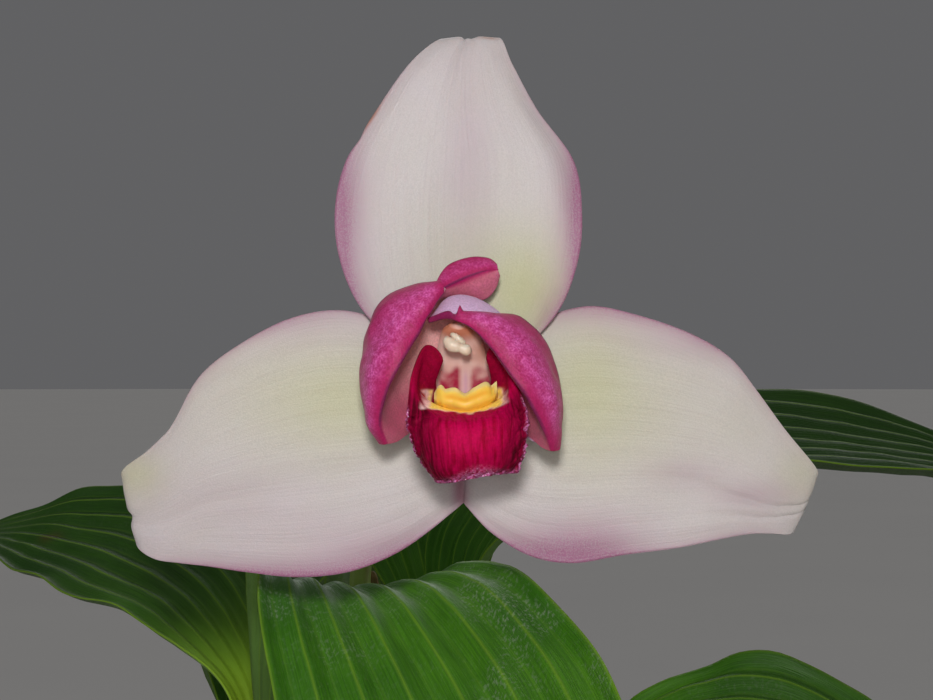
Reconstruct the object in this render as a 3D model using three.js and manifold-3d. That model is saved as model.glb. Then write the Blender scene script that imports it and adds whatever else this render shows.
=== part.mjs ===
// A potted lycaste orchid: one open flower on its own stalk, six pleated leaves on two leafy
// pseudobulbs, two older bare pseudobulbs, their creeping stem and roots, bark and a plain clay pot.
// Millimetres, +Z up, origin at the centre of the pot's foot. The flower faces -Y.
import * as THREE from "three";
import { mergeVertices } from "three/addons/utils/BufferGeometryUtils.js";
import Module from "manifold-3d";

const wasm = await Module();
wasm.setup();

// Driving dimensions
const POT = { height: 130, foot: 54, top: 80, wall: 5, floor: 7, band: 24, bandOut: 3.5, sides: 32 };
const DRAIN = { count: 5, radius: 6, ring: 33 };
const BARK = { top: 112, dome: 4, chips: 27, long: 24, wide: 14, thick: 6, margin: 14 };
const FLOWER = [20, -75, 300]; // the middle of the bloom, where its column starts
const LEAF = { thick: 0.8, pleats: 7, rows: 13, pleat: 0.032 }; // pleat: a share of the half width
const SEPAL = { thick: 0.9, across: 8, rows: 14 };
const PETAL = { thick: 0.7, across: 10, rows: 13 };
const LIP = { thick: 0.7, across: 14, rows: 17 };
const CLEAR = 0.4; // left between pieces that touch
const NECK = 113; // the height of the bulbs' feet, just under the bark's top

// Stations are lists of numbers. This gives the smooth curve through them at t from 0 to 1.
function through(stations, t) {
  const last = stations.length - 1;
  const at = Math.min(Math.max(t, 0), 1) * last;
  const i = Math.min(Math.floor(at), last - 1);
  const f = at - i;
  const value = (k, c) => {
    if (k < 0) return 2 * stations[0][c] - stations[1][c];
    if (k > last) return 2 * stations[last][c] - stations[last - 1][c];
    return stations[k][c];
  };
  return stations[i].map((_, c) => {
    const [a, b, d, e] = [value(i - 1, c), value(i, c), value(i + 1, c), value(i + 2, c)];
    const [square, cube] = [2 * a - 5 * b + 4 * d - e, 3 * b - 3 * d + e - a];
    return 0.5 * (2 * b + (d - a) * f + square * f ** 2 + cube * f ** 3);
  });
}

const SIDEWAYS = new THREE.Vector3(1, 0, 0);
const UPRIGHT = new THREE.Vector3(0, 0, 1);
const vector = (list, from = 0) => new THREE.Vector3(list[from], list[from + 1], list[from + 2]);
const mix = (a, b, f) => a + (b - a) * f;
const range = (n) => Array.from({ length: n }, (_, i) => i);

// The same pseudo-random draws every time
function draws(seed) {
  let state = seed;
  return () => {
    state = (state * 1664525 + 1013904223) % 4294967296;
    return state / 4294967296;
  };
}

function geometryOf(points, triangles) {
  const made = new THREE.BufferGeometry();
  made.setAttribute("position", new THREE.Float32BufferAttribute(points.flatMap((p) => p.toArray()), 3));
  made.setIndex(triangles.flat());
  return facingOut(made);
}

// Turns the faces round if the solid is inside out
function facingOut(geometry) {
  const at = geometry.getAttribute("position");
  const index = geometry.index.array;
  const [a, b, c] = [new THREE.Vector3(), new THREE.Vector3(), new THREE.Vector3()];
  let volume = 0;
  for (let i = 0; i < index.length; i += 3) {
    a.fromBufferAttribute(at, index[i]);
    b.fromBufferAttribute(at, index[i + 1]);
    c.fromBufferAttribute(at, index[i + 2]);
    volume += a.dot(b.cross(c));
  }
  if (volume > 0) return geometry;
  for (let i = 0; i < index.length; i += 3) {
    [index[i + 1], index[i + 2]] = [index[i + 2], index[i + 1]];
  }
  return geometry;
}

// A thin sheet as a closed solid: rows of points, each row across the sheet. Both faces are the sheet
// moved half the thickness along its own normals, and are split into triangles alike.
function sheet(rows, thick) {
  const [n, m] = [rows.length, rows[0].length];
  const pick = (i, j) => rows[Math.min(Math.max(i, 0), n - 1)][Math.min(Math.max(j, 0), m - 1)];
  const normal = (i, j) => {
    const along = pick(i + 1, j).clone().sub(pick(i - 1, j));
    const across = pick(i, j + 1).clone().sub(pick(i, j - 1));
    return along.cross(across).normalize();
  };
  return thickened(rows, rows.map((row, i) => row.map((_, j) => normal(i, j))), thick);
}

function thickened(rows, normals, thick) {
  const [n, m] = [rows.length, rows[0].length];
  const points = [1, -1].flatMap((face) =>
    rows.flatMap((row, i) => row.map((p, j) => p.clone().addScaledVector(normals[i][j], (face * thick) / 2))),
  );
  const front = (i, j) => i * m + j;
  const back = (i, j) => n * m + i * m + j;
  const triangles = [];
  for (let i = 0; i < n - 1; i++)
    for (let j = 0; j < m - 1; j++) {
      triangles.push([front(i, j), front(i + 1, j), front(i + 1, j + 1)]);
      triangles.push([front(i, j), front(i + 1, j + 1), front(i, j + 1)]);
      triangles.push([back(i, j), back(i + 1, j + 1), back(i + 1, j)]);
      triangles.push([back(i, j), back(i, j + 1), back(i + 1, j + 1)]);
    }
  const rim = [
    ...range(m - 1).map((j) => [0, j]),
    ...range(n - 1).map((i) => [i, m - 1]),
    ...range(m - 1).map((j) => [n - 1, m - 1 - j]),
    ...range(n - 1).map((i) => [n - 1 - i, 0]),
  ];
  rim.forEach(([i, j], k) => {
    const [p, q] = rim[(k + 1) % rim.length];
    triangles.push([front(i, j), front(p, q), back(p, q)], [front(i, j), back(p, q), back(i, j)]);
  });
  return geometryOf(points, triangles);
}

// Closed rings of points, one after another, capped at both ends
function rings(list) {
  const sides = list[0].length;
  const points = list.flat();
  const triangles = [];
  for (let i = 0; i < list.length - 1; i++)
    for (let j = 0; j < sides; j++) {
      const [a, b] = [i * sides + j, i * sides + ((j + 1) % sides)];
      triangles.push([a, b, b + sides], [a, b + sides, a + sides]);
    }
  [0, list.length - 1].forEach((i) => {
    const middle = points.length;
    points.push(list[i].reduce((sum, p) => sum.add(p), new THREE.Vector3()).divideScalar(sides));
    for (let j = 0; j < sides; j++) {
      const [a, b] = [i * sides + j, i * sides + ((j + 1) % sides)];
      triangles.push(i === 0 ? [middle, b, a] : [middle, a, b]);
    }
  });
  return geometryOf(points, triangles);
}

// A round rod along stations of [x, y, z, radius]. Aside is a direction that the rod never follows. To
// grow it is to make it thicker and longer all round.
function rod(stations, steps, sides, aside, grow = 0) {
  const list = range(steps + 1).map((i) => {
    const t = i / steps;
    const here = through(stations, t);
    const ahead = vector(through(stations, Math.min(t + 0.01, 1)));
    const along = ahead.sub(vector(through(stations, Math.max(t - 0.01, 0)))).normalize();
    const one = aside.clone().cross(along).normalize();
    const two = along.clone().cross(one);
    const beyond = i === 0 ? -grow : i === steps ? grow : 0;
    return range(sides).map((k) => {
      const turn = (2 * Math.PI * k) / sides;
      const out = one.clone().multiplyScalar(Math.cos(turn)).addScaledVector(two, Math.sin(turn));
      return vector(here).addScaledVector(along, beyond).addScaledVector(out, here[3] + grow);
    });
  });
  return rings(list);
}

// Between a three.js geometry and a solid that can be joined and cut
function solid(geometry) {
  const bare = geometry.index ? geometry.toNonIndexed() : geometry.clone();
  bare.deleteAttribute("normal");
  bare.deleteAttribute("uv");
  const merged = mergeVertices(bare, 1e-4);
  return new wasm.Manifold(
    new wasm.Mesh({
      numProp: 3,
      vertProperties: merged.getAttribute("position").array,
      triVerts: new Uint32Array(merged.index.array),
    }),
  );
}

function geometryFrom(made) {
  const mesh = made.getMesh();
  const geometry = new THREE.BufferGeometry();
  geometry.setAttribute("position", new THREE.BufferAttribute(new Float32Array(mesh.vertProperties), 3));
  geometry.setIndex(new THREE.BufferAttribute(new Uint32Array(mesh.triVerts), 1));
  return geometry;
}

// The flower. Its pieces are in the flower's own frame: x to the right, y away from the viewer, z up.

// Sepal stations: one edge's x, z, the other edge's x, z, then depth at one edge, middle, other edge
const SEPALS = {
  sepal_dorsal: [
    [-4.5, 1.5, 4.5, 1.5, 0.4, 0.4, 0.4],
    [-13, 8, 12, 7, 0.2, 0.3, 0.2],
    [-20.5, 15.5, 19.2, 15, -0.4, 0.5, -0.4],
    [-24.6, 25, 23, 25, -0.6, 0.8, -0.6],
    [-25.6, 35, 23.8, 35, 0, 0.9, 0.4],
    [-23.4, 45, 22.2, 45.4, 1.2, 0.8, 1.6],
    [-17, 55.5, 15, 55.5, 2, 0.8, 2],
    [-10.6, 64.4, 10, 64.4, 2.6, 1.6, 2.6],
    [-4.6, 69.3, 7.6, 69.8, 4.2, 3.4, 4.2],
    [-1, 68.4, 4.6, 68.6, 7.6, 7.2, 7.6],
  ],
  sepal_left: [
    [-0.3, 3, -0.2, -23.5, 2.4, 2.2, 2],
    [-8, 8.4, -5.6, -28.4, 2.4, 2, 1.4],
    [-16, 12.8, -13.6, -33.8, 2.6, 1.6, 0.6],
    [-25, 15, -23, -37.4, 2.2, 1.4, 0],
    [-35, 13.2, -33, -38.4, 1.4, 1.4, 0],
    [-45, 8, -43, -37.5, 1.4, 1.6, 0.6],
    [-52.6, 2, -51, -36.4, 2.2, 1.8, 1.4],
    [-58, -6.6, -57, -35.8, 3, 2.2, 2.2],
    [-63, -12.8, -62, -35, 3.6, 3, 3],
    [-68.8, -17.4, -65.4, -32.6, 5.2, 4.6, 4.8],
    [-68, -21, -66, -29, 8.6, 8, 8.2],
  ],
  sepal_right: [
    [0.3, 3, 0.2, -23.5, 2.4, 2.2, 2],
    [8, 8.8, 5.4, -29.4, 2.4, 2, 1.4],
    [16, 13.4, 13.4, -34.2, 2.6, 1.6, 0.6],
    [25.4, 15.8, 22, -35.6, 2.2, 1.4, 0],
    [35, 14, 32, -34, 1.4, 1.4, 0],
    [45.4, 10.4, 43, -32.6, 1.4, 1.6, 0.6],
    [53.4, 5.6, 51, -31, 2.2, 1.8, 1.4],
    [59, -1.2, 57.4, -29.9, 3, 2.2, 2.2],
    [65, -9.6, 62, -29.4, 3.6, 3, 3],
    [70.4, -16.4, 66, -28.6, 5.2, 4.6, 4.8],
    [70, -20, 67.6, -26, 8.6, 8, 8.2],
  ],
};

function sepal(stations) {
  const rows = range(SEPAL.rows + 1).map((i) => {
    const [ax, az, bx, bz, ya, ym, yb] = through(stations, i / SEPAL.rows);
    return range(SEPAL.across + 1).map((j) => {
      const s = j / SEPAL.across;
      const y = ya * (1 - s) * (1 - 2 * s) + ym * 4 * s * (1 - s) + yb * s * (2 * s - 1);
      return new THREE.Vector3(mix(ax, bx, s), y, mix(az, bz, s));
    });
  });
  return sheet(rows, SEPAL.thick);
}

// Petal stations, from its top to its tip: five points x, y, z from deep inside, by the wall, the
// crest of the fold and the back-rolled part, to the free margin
const PETALS = {
  petal_left: [
    [-2.2, -2.6, 15.6, -3.2, -7, 19, -4, -12.6, 18.4, -4, -12.7, 19.4, -4.2, -11.4, 20.2],
    [-3.6, -2, 10, -7.8, -8, 14, -6.8, -15.5, 13.8, -7.8, -14.2, 17.6, -9, -9, 19.9],
    [-4, -1.7, 6, -10, -9, 8.6, -9.2, -17.5, 9.4, -12.6, -15.8, 13.8, -14.9, -8.6, 17.7],
    [-4.4, -1.7, 2, -12.3, -9.5, 3.6, -11.8, -19, 5, -16, -16.8, 8, -18.6, -8, 11.4],
    [-4.6, -1.7, -2, -13.5, -9.8, -1.4, -14.3, -19, 0.2, -18.2, -16, 2.4, -19.9, -8, 4],
    [-5.4, -2.6, -5, -13.4, -10, -6, -15.7, -17.5, -4, -18.6, -15, -3.6, -19.4, -8.4, -2.8],
    [-8.4, -5, -7.4, -12.8, -10.6, -9, -16.2, -15.2, -7.4, -17.8, -13.6, -8, -17.9, -9.4, -8],
    [-12, -9.4, -10.4, -13.4, -10.8, -11, -15, -12.2, -11.2, -15.8, -11.8, -11.3, -16.4, -11, -11],
  ],
  petal_right: [
    [-2, -2.4, 11, -5.2, -7.2, 13.8, -6.6, -12.2, 12.6, -6.7, -12.5, 12.9, -6.8, -12.5, 13.3],
    [-0.8, -2.4, 11.8, -2.4, -7.8, 17.1, -3.2, -14.2, 13.3, -3.3, -14.5, 13.9, -3.3, -14.2, 14.5],
    [1, -2.2, 11.8, 1.8, -8, 17.2, -0.7, -15.8, 12.7, -0.5, -16, 13.5, -0.3, -15, 14.4],
    [2.8, -2, 10.6, 5.6, -8.6, 15.3, 2.2, -17.2, 10.9, 3.8, -16.2, 13.3, 5.4, -11.4, 14.3],
    [4, -1.8, 8.6, 9.2, -9, 11.4, 5.6, -18.2, 7.4, 8.4, -16.6, 11.2, 11.4, -9.6, 13.4],
    [4.6, -1.7, 5, 11.2, -9.6, 6.4, 8.6, -19.1, 3.2, 12.2, -17, 7, 15.8, -8.9, 9],
    [4.8, -1.7, 1, 12.9, -10.2, 1.4, 11.9, -19.4, -1.2, 15.6, -16.7, 1.8, 18.3, -8.5, 3.2],
    [5.4, -2.6, -3, 13, -10, -3.9, 14, -18.2, -4.9, 17.6, -15.6, -3.4, 19.5, -8.6, -3.2],
    [8.6, -4.8, -6.6, 13.4, -10.8, -8, 16, -16, -8.8, 18.2, -14, -8.2, 19.5, -9.5, -8.4],
    [13.6, -10.2, -10.4, 15.6, -11.8, -11.9, 17.4, -12.8, -12.5, 18.2, -12.4, -12.6, 19, -11.4, -12.4],
  ],
};

// Three of the numbers from each half of a petal's station make a curve from inside to the crest,
// and three make one from the crest to the margin.
function petalRows(stations) {
  return range(PETAL.rows + 1).map((i) => {
    const at = through(stations, i / PETAL.rows);
    return range(PETAL.across + 1).map((j) => {
      const v = (2 * j) / PETAL.across;
      const [first, s] = v <= 1 ? [0, v] : [6, v - 1];
      const weights = [(1 - s) * (1 - 2 * s), 4 * s * (1 - s), s * (2 * s - 1)];
      const point = [0, 1, 2].map((c) => weights.reduce((sum, w, k) => sum + w * at[first + 3 * k + c], 0));
      return vector(point);
    });
  });
}

// The left petal's upper margin stands up as an ear over the column, folded along its middle:
// upper margin, fold and lower margin, x, y, z each
const EAR = [
  [-5.6, -10.6, 18.6, -6, -12.4, 17.4, -5.2, -11.4, 16.9],
  [-4.2, -7.4, 22, -3.8, -9.4, 19.2, -3, -6.4, 17.5],
  [-2.2, -6, 24, -1.2, -8.2, 20.6, 0, -3.8, 16.6],
  [1.6, -5, 25.2, 1.4, -7.4, 21.7, 4.4, -4.4, 17.2],
  [5, -4.8, 25, 4.2, -6.6, 22.6, 6.4, -4.6, 19.4],
  [6.6, -5, 23.8, 6.9, -5.4, 22.9, 7.1, -5.1, 21.8],
];

function ear() {
  const rows = range(9).map((i) => {
    const at = through(EAR, i / 8);
    return range(5).map((j) => {
      const [first, f] = j <= 2 ? [0, j / 2] : [3, (j - 2) / 2];
      return vector([0, 1, 2].map((c) => mix(at[first + c], at[first + 3 + c], f)));
    });
  });
  return sheet(rows, PETAL.thick);
}

// Lip stations, from its foot to its fringed end: five points x, y, z from one margin to the other.
// The side lobes stand up beside the column, and the middle lobe turns down.
const LIP_STATIONS = [
  [-3, -4.6, -12.4, -2, -4.8, -13.6, 0, -5, -14.2, 2, -4.8, -13.6, 3, -4.6, -12.4],
  [-5.6, -10.4, 0.4, -5.2, -8.6, -7, 0.2, -8, -11, 5.2, -8.6, -7, 5.8, -10.4, 0.8],
  [-4.1, -12, 5.6, -7.6, -11.8, -3, 0.3, -11, -7.6, 7.6, -11.8, -2.8, 4.8, -12, 6],
  [-7.2, -13.2, 7.9, -8.6, -14.4, -1.4, 0.4, -14, -5.2, 8.8, -14.4, -1, 6.6, -13, 8],
  [-9.9, -15.6, 2.4, -7.6, -17.2, -4, 0.5, -17.4, -5.5, 8, -17.2, -3.4, 9.4, -15.2, 2.8],
  [-10.6, -18.3, -4, -5.8, -20.2, -5.8, 0.8, -20.4, -6.3, 6.8, -20, -5, 11.4, -17.4, -2],
  [-10.9, -19.3, -7.4, -5.8, -22.4, -7.4, 0.9, -23, -7.9, 7.2, -22.4, -6.8, 12.5, -19.2, -6.4],
  [-9.9, -18.8, -11, -5.2, -22.8, -11.8, 1, -23.8, -12, 7.2, -22.8, -11.2, 12.2, -18.8, -10.6],
  [-8.2, -17.4, -14.4, -4.6, -21, -16, 1.2, -22.2, -15.8, 7, -21, -15.2, 11.5, -17.4, -14],
  [-5.4, -15.8, -18.6, -3, -18.8, -18.6, 1.4, -19.6, -17.8, 6.4, -18.8, -17, 10.8, -15.8, -16.8],
];
const FRINGE = { deep: 0.45, starts: 0.6, wide: 0.3 }; // the ruffle of the middle lobe's margin

function lip() {
  const rows = range(LIP.rows + 1).map((i) => {
    const t = i / LIP.rows;
    const at = through(LIP_STATIONS, t);
    const points = range(5).map((k) => at.slice(3 * k, 3 * k + 3));
    return range(LIP.across + 1).map((j) => {
      const s = j / LIP.across;
      const point = vector(through(points, s));
      const toSide = t < FRINGE.starts ? 0 : 1 - Math.min(s, 1 - s) / FRINGE.wide;
      const toEnd = 1 - (1 - t) / 0.12;
      const ruffle = Math.min(Math.max(toSide, toEnd, 0), 1);
      point.y -= FRINGE.deep * ruffle * ((i + j) % 2 ? -1 : 1);
      return point;
    });
  });
  return sheet(rows, LIP.thick);
}

// The yellow callus: a thick plate that stands up across the lip's throat, notched in the middle and
// drawn up in horns at its sides. Stations of x, and of y and z at its foot and at its top edge.
const CALLUS = [
  [-5.5, -14.6, -2.2, -13.8, -1.4],
  [-4.3, -15.7, -2.6, -13.8, 0],
  [-3.4, -16.4, -3, -14.6, -0.8],
  [-1.6, -17, -3.5, -15, -0.5],
  [0.4, -17.4, -3.75, -15, -1.7],
  [2.4, -17.2, -3.3, -15, -0.4],
  [4.4, -16.4, -2.6, -14.4, 0.6],
  [5.4, -15.6, -2, -14, -0.2],
  [6.6, -14.2, -1, -13.4, 0.9],
];
const CALLUS_THICK = 1.3;

function callus() {
  const rows = range(15).map((i) => {
    const [x, footY, footZ, topY, topZ] = through(CALLUS, i / 14);
    return range(4).map((j) => new THREE.Vector3(x, mix(footY, topY, j / 3), mix(footZ, topZ, j / 3)));
  });
  return sheet(rows, CALLUS_THICK);
}

// The column arches up and forward over the lip. Stations of x, y, z, half width and half thickness.
const COLUMN = [
  [0, -3.2, -10, 3, 0.9],
  [0, -3.8, -6, 4.4, 1.2],
  [0, -4.4, -2, 5.3, 1.5],
  [0, -5.4, 2, 5.6, 1.7],
  [-0.2, -7.2, 6, 5, 1.9],
  [-0.5, -9.4, 9, 4.2, 1.9],
  [-0.8, -11.4, 10.9, 3.2, 1.7],
  [-0.9, -12.8, 11.8, 1.8, 1],
];

function column() {
  const [sides, steps] = [12, 10];
  return rings(
    range(steps + 1).map((i) => {
      const [x, y, z, wide, thick] = through(COLUMN, i / steps);
      const lean = Math.min(1, i / steps) * 0.9; // the section turns as the column bows forward
      return range(sides).map((k) => {
        const turn = (2 * Math.PI * k) / sides;
        const [aside, out] = [wide * Math.cos(turn), thick * Math.sin(turn)];
        return new THREE.Vector3(x + aside, y + out * Math.cos(lean), z + out * Math.sin(lean));
      });
    }),
  );
}

// The anther cap: a small two-lobed hood at the column's end
function antherCap() {
  const lobe = (x, z, size) => {
    const ball = new THREE.SphereGeometry(size, 8, 6);
    ball.scale(1, 1.05, 0.86);
    ball.translate(x, -13.6, z);
    return solid(ball);
  };
  return geometryFrom(lobe(-2.1, 8.3, 1.6).add(lobe(0, 7.2, 1.5)));
}

// Leaves. Stations from bulb to tip: x, y, z of the midrib, the way the upper face looks, half the
// blade's width round its arc, and half the angle of that arc, so that the stalk is a channel.
const LEAVES = {
  leaf_left: [
    [-28, -15, 180.6, 0.85, -0.35, 0.1, 5.5, 1.3],
    [-29, -11, 205, 0.7, -0.6, 0.2, 5.5, 1.2],
    [-27.5, -6, 229, 0.4, -0.7, 0.5, 9, 0.8],
    [-41, 8, 249, 0.1, -0.55, 0.8, 20, 0.4],
    [-60, 23, 259, -0.1, -0.43, 0.89, 25, 0.28],
    [-78, 35, 262, -0.15, -0.4, 0.9, 20, 0.26],
    [-93, 45, 262, -0.15, -0.38, 0.9, 9.5, 0.26],
    [-104, 52, 260.5, -0.15, -0.4, 0.9, 1.2, 0.2],
  ],
  leaf_front: [
    [-18, -19.5, 180.5, 0.25, 0.95, 0.1, 5.5, 1.3],
    [-19, -21, 206, 0.25, 0.95, 0.1, 5.8, 1.2],
    [-18, -25, 232, 0.15, 0.9, 0.3, 11, 0.8],
    [-9, -33, 252, 0, 0.6, 0.8, 20, 0.4],
    [-1.4, -46, 256.4, 0.04, -0.1, 0.98, 25, 0.34],
    [7.4, -63, 248.6, -0.04, -0.6, 0.78, 29.2, 0.16],
    [18.8, -80, 229.5, -0.14, -0.78, 0.56, 33.2, 0.18],
    [30.2, -95, 206, -0.3, -0.84, 0.36, 29.8, 0.22],
    [38, -105, 179, -0.34, -0.88, 0.25, 18, 0.25],
    [44, -110, 152, -0.34, -0.9, 0.15, 1.2, 0.2],
  ],
  leaf_low_right: [
    [29, 4.6, 186.9, -0.45, 0.8, 0.1, 5.5, 1.3],
    [35, -2, 200, -0.7, 0.5, 0.4, 6.5, 1.1],
    [45, -14, 213, -0.4, 0.1, 0.9, 15, 0.6],
    [66, -27, 223, -0.15, -0.25, 0.95, 26, 0.38],
    [88, -38, 223, 0.05, -0.3, 0.93, 30, 0.3],
    [107, -46, 206, 0.35, -0.3, 0.85, 25, 0.3],
    [120, -53, 181, 0.6, -0.3, 0.7, 14, 0.28],
    [127, -57, 157, 0.75, -0.3, 0.5, 1.2, 0.2],
  ],
  leaf_right: [
    [30, 15.5, 187.6, -0.45, -0.85, 0.1, 5.5, 1.3],
    [24, 13, 214, -0.8, -0.5, 0.1, 6, 1.2],
    [20, 12, 241, -0.8, -0.45, 0.3, 9, 0.9],
    [24, 13, 262, -0.65, -0.4, 0.6, 17, 0.6],
    [43, 22, 277, -0.4, -0.35, 0.85, 25, 0.36],
    [73, 38, 283.5, -0.08, -0.32, 0.92, 29, 0.26],
    [108, 56, 284.5, 0.1, -0.28, 0.93, 30, 0.18],
    [143, 74, 278.5, 0.24, -0.26, 0.9, 26, 0.2],
    [171, 90, 261, 0.45, -0.25, 0.84, 15, 0.25],
    [188, 99, 240, 0.65, -0.2, 0.7, 1.2, 0.2],
  ],
  leaf_back: [
    [18, 13.5, 187.4, 0.85, -0.35, 0.1, 5.5, 1.3],
    [18, 25, 214, 0, -1, 0.2, 6, 1.2],
    [14, 38, 242, 0, -0.85, 0.5, 11, 0.8],
    [9, 58, 270, 0, -0.6, 0.8, 24, 0.45],
    [3, 92, 287, 0, -0.2, 0.95, 33, 0.32],
    [-2, 130, 284, 0, 0.25, 0.95, 34, 0.3],
    [-6, 164, 262, 0, 0.6, 0.8, 27, 0.3],
    [-8, 186, 230, 0, 0.8, 0.6, 14, 0.26],
    [-9, 196, 204, 0, 0.9, 0.4, 1.2, 0.2],
  ],
  leaf_back_left: [
    [-18.5, -8.5, 181, -0.2, -1, 0.1, 5.5, 1.3],
    [-26, 4, 207, -0.1, -1, 0.2, 5.8, 1.2],
    [-31, 24, 231, -0.1, -0.85, 0.5, 11, 0.8],
    [-33, 50, 248, -0.05, -0.45, 0.85, 22, 0.45],
    [-35, 86, 250, 0, 0.1, 0.98, 27, 0.32],
    [-36, 120, 232, 0, 0.5, 0.85, 23, 0.3],
    [-36, 143, 202, 0, 0.8, 0.6, 13, 0.28],
    [-36, 154, 174, 0, 0.9, 0.4, 1.2, 0.2],
  ],
};

function leaf(stations) {
  const columns = 2 * LEAF.pleats;
  const faces = [];
  const rows = range(LEAF.rows + 1).map((i) => {
    const t = i / LEAF.rows;
    const at = through(stations, t);
    const ahead = vector(through(stations, Math.min(t + 0.01, 1)));
    const along = ahead.sub(vector(through(stations, Math.max(t - 0.01, 0)))).normalize();
    const side = vector(at, 3).cross(along).normalize();
    const up = along.clone().cross(side);
    const [half, arc] = [Math.max(at[6], 1), Math.max(at[7], 0.15)];
    const pleat = LEAF.pleat * half * Math.min(1, Math.max(0, half - 5) / 12);
    const bends = range(columns + 1).map((j) => arc * ((2 * j) / columns - 1));
    faces.push(bends.map((b) => up.clone().multiplyScalar(Math.cos(b)).addScaledVector(side, -Math.sin(b))));
    return bends.map((bend, j) => {
      const [out, rise] = [(half * Math.sin(bend)) / arc, (half * (1 - Math.cos(bend))) / arc];
      const point = vector(at).addScaledVector(side, out).addScaledVector(up, rise);
      return point.addScaledVector(faces[i][j], pleat * (j % 2 ? -1 : 1));
    });
  });
  return thickened(rows, faces, LEAF.thick);
}

// The flower's stalk: x, y, z and radius from the bulb's foot to the ovary behind the sepals
const STALK = [
  [5, -28, 104, 2.9],
  [5, -28, 128, 2.7],
  [4, -25, 160, 2.4],
  [1, -20, 195, 2.3],
  [-2, -15, 228, 2.3],
  [-3, -13, 256, 2.3],
  [0, -19, 281, 2.4],
  [8, -38, 296, 2.7],
  [16, -58, 297, 3.1],
  [19.8, -70.9, 295, 3.3],
];

// Sheaths on the stalk: the share of its length where each starts and where its tip ends, and the way
// the tip looks round the stalk
const SHEATHS = {
  sheath_low: [0.1, 0.3, 2],
  sheath_middle: [0.37, 0.56, -1],
  sheath_flower: [0.68, 0.88, 1.2],
};

function sheath([start, tip, facing]) {
  const [rowsAlong, sides] = [5, 8];
  const wrap = 0.86 * Math.PI; // half the angle that it covers round the stalk
  const rows = range(rowsAlong + 1).map((i) =>
    range(sides + 1).map((j) => {
      const turn = ((2 * j) / sides - 1) * wrap;
      const reach = 0.35 + 0.65 * (0.5 + 0.5 * Math.cos(turn)) ** 1.4;
      const t = start + (tip - start) * (i / rowsAlong) * reach;
      const here = through(STALK, t);
      const ahead = vector(through(STALK, t + 0.01));
      const along = ahead.sub(vector(through(STALK, t - 0.01))).normalize();
      const one = SIDEWAYS.clone().cross(along).normalize();
      const two = along.clone().cross(one);
      const flare = 1.1 + 1.7 * Math.sin((Math.PI * i) / rowsAlong) + 0.8 * (i / rowsAlong);
      const out = one.multiplyScalar(Math.sin(turn + facing)).addScaledVector(two, Math.cos(turn + facing));
      return vector(here).addScaledVector(out, here[3] + flare);
    }),
  );
  return sheet(rows, 0.6);
}

// Pseudobulbs: foot x, y, height, half width, half thickness, turn about the upright in radians, lean
const BULBS = {
  pseudobulb_front: [-22, -15, 67, 23, 17, 0.5, [1, 0]],
  pseudobulb_middle: [24, 10, 73, 24, 18, -0.6, [2, 1]],
  pseudobulb_old: [-14, 35, 57, 19, 14, 0.2, [-3, 3]],
  pseudobulb_oldest: [-49, 16, 45, 15, 12, 1.2, [-5, 1]],
};
const BULB_RINGS = [ // share of the height, share of the width
  [0, 0.5],
  [0.07, 0.72],
  [0.2, 0.94],
  [0.36, 1],
  [0.52, 0.95],
  [0.68, 0.8],
  [0.82, 0.6],
  [0.93, 0.44],
  [1, 0.36],
];

function bulb([x, y, tall, wide, thick, turned, [leanX, leanY]], grow = 0) {
  const sides = 16;
  return rings(
    BULB_RINGS.map(([up, share]) =>
      range(sides).map((k) => {
        const turn = (2 * Math.PI * k) / sides;
        const furrow = 1 - 0.05 * Math.cos(8 * turn) * Math.sin(Math.PI * up);
        const [p, q] = [
          (wide * share * furrow + grow) * Math.cos(turn),
          (thick * share * furrow + grow) * Math.sin(turn),
        ];
        const [c, s] = [Math.cos(turned), Math.sin(turned)];
        const bend = up * up;
        const z = NECK + tall * up + (up === 0 ? -grow : up === 1 ? grow : 0);
        return new THREE.Vector3(x + p * c - q * s + leanX * bend, y + p * s + q * c + leanY * bend, z);
      }),
    ),
  );
}

const HUSK_ROOM = 4.4; // kept free of bark chips round each bulb
const STALK_HOLE = 3.6; // radius of the hole that the flower's stalk stands in

// The dry husk round a bulb's lower half: the bulb's name, the turn of its split and its height share
const HUSKS = {
  husk_front: ["pseudobulb_front", 2.2, 0.42],
  husk_middle: ["pseudobulb_middle", -2.3, 0.4],
  husk_old: ["pseudobulb_old", 1.2, 0.34],
};

function husk([name, split, share]) {
  const [x, y, tall, wide, thick, turned, [leanX, leanY]] = BULBS[name];
  const [rowsUp, sides] = [4, 12];
  const rows = range(rowsUp + 1).map((i) =>
    range(sides + 1).map((j) => {
      const f = (2 * j) / sides - 1;
      const turn = split + Math.PI + f * 0.88 * Math.PI;
      const top = share * (0.7 + 0.3 * Math.cos(f * Math.PI)) * (j % 2 ? 0.86 : 1);
      const up = 0.07 + (top - 0.07) * (i / rowsUp);
      const ringShare = bulbShare(up);
      const off = 1.5 + 1.2 * (i / rowsUp) ** 2;
      const p = (wide * ringShare * 1.05 + off) * Math.cos(turn);
      const q = (thick * ringShare * 1.05 + off) * Math.sin(turn);
      const [c, s] = [Math.cos(turned), Math.sin(turned)];
      const bend = up * up;
      return new THREE.Vector3(
        x + p * c - q * s + leanX * bend,
        y + p * s + q * c + leanY * bend,
        NECK + tall * up,
      );
    }),
  );
  return sheet(rows, 0.6);
}

function bulbShare(up) {
  const next = BULB_RINGS.findIndex(([height]) => height >= up);
  const [a, b] = [BULB_RINGS[Math.max(next - 1, 0)], BULB_RINGS[Math.max(next, 1)]];
  const f = (up - a[0]) / (b[0] - a[0]);
  return mix(a[1], b[1], f);
}

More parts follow.
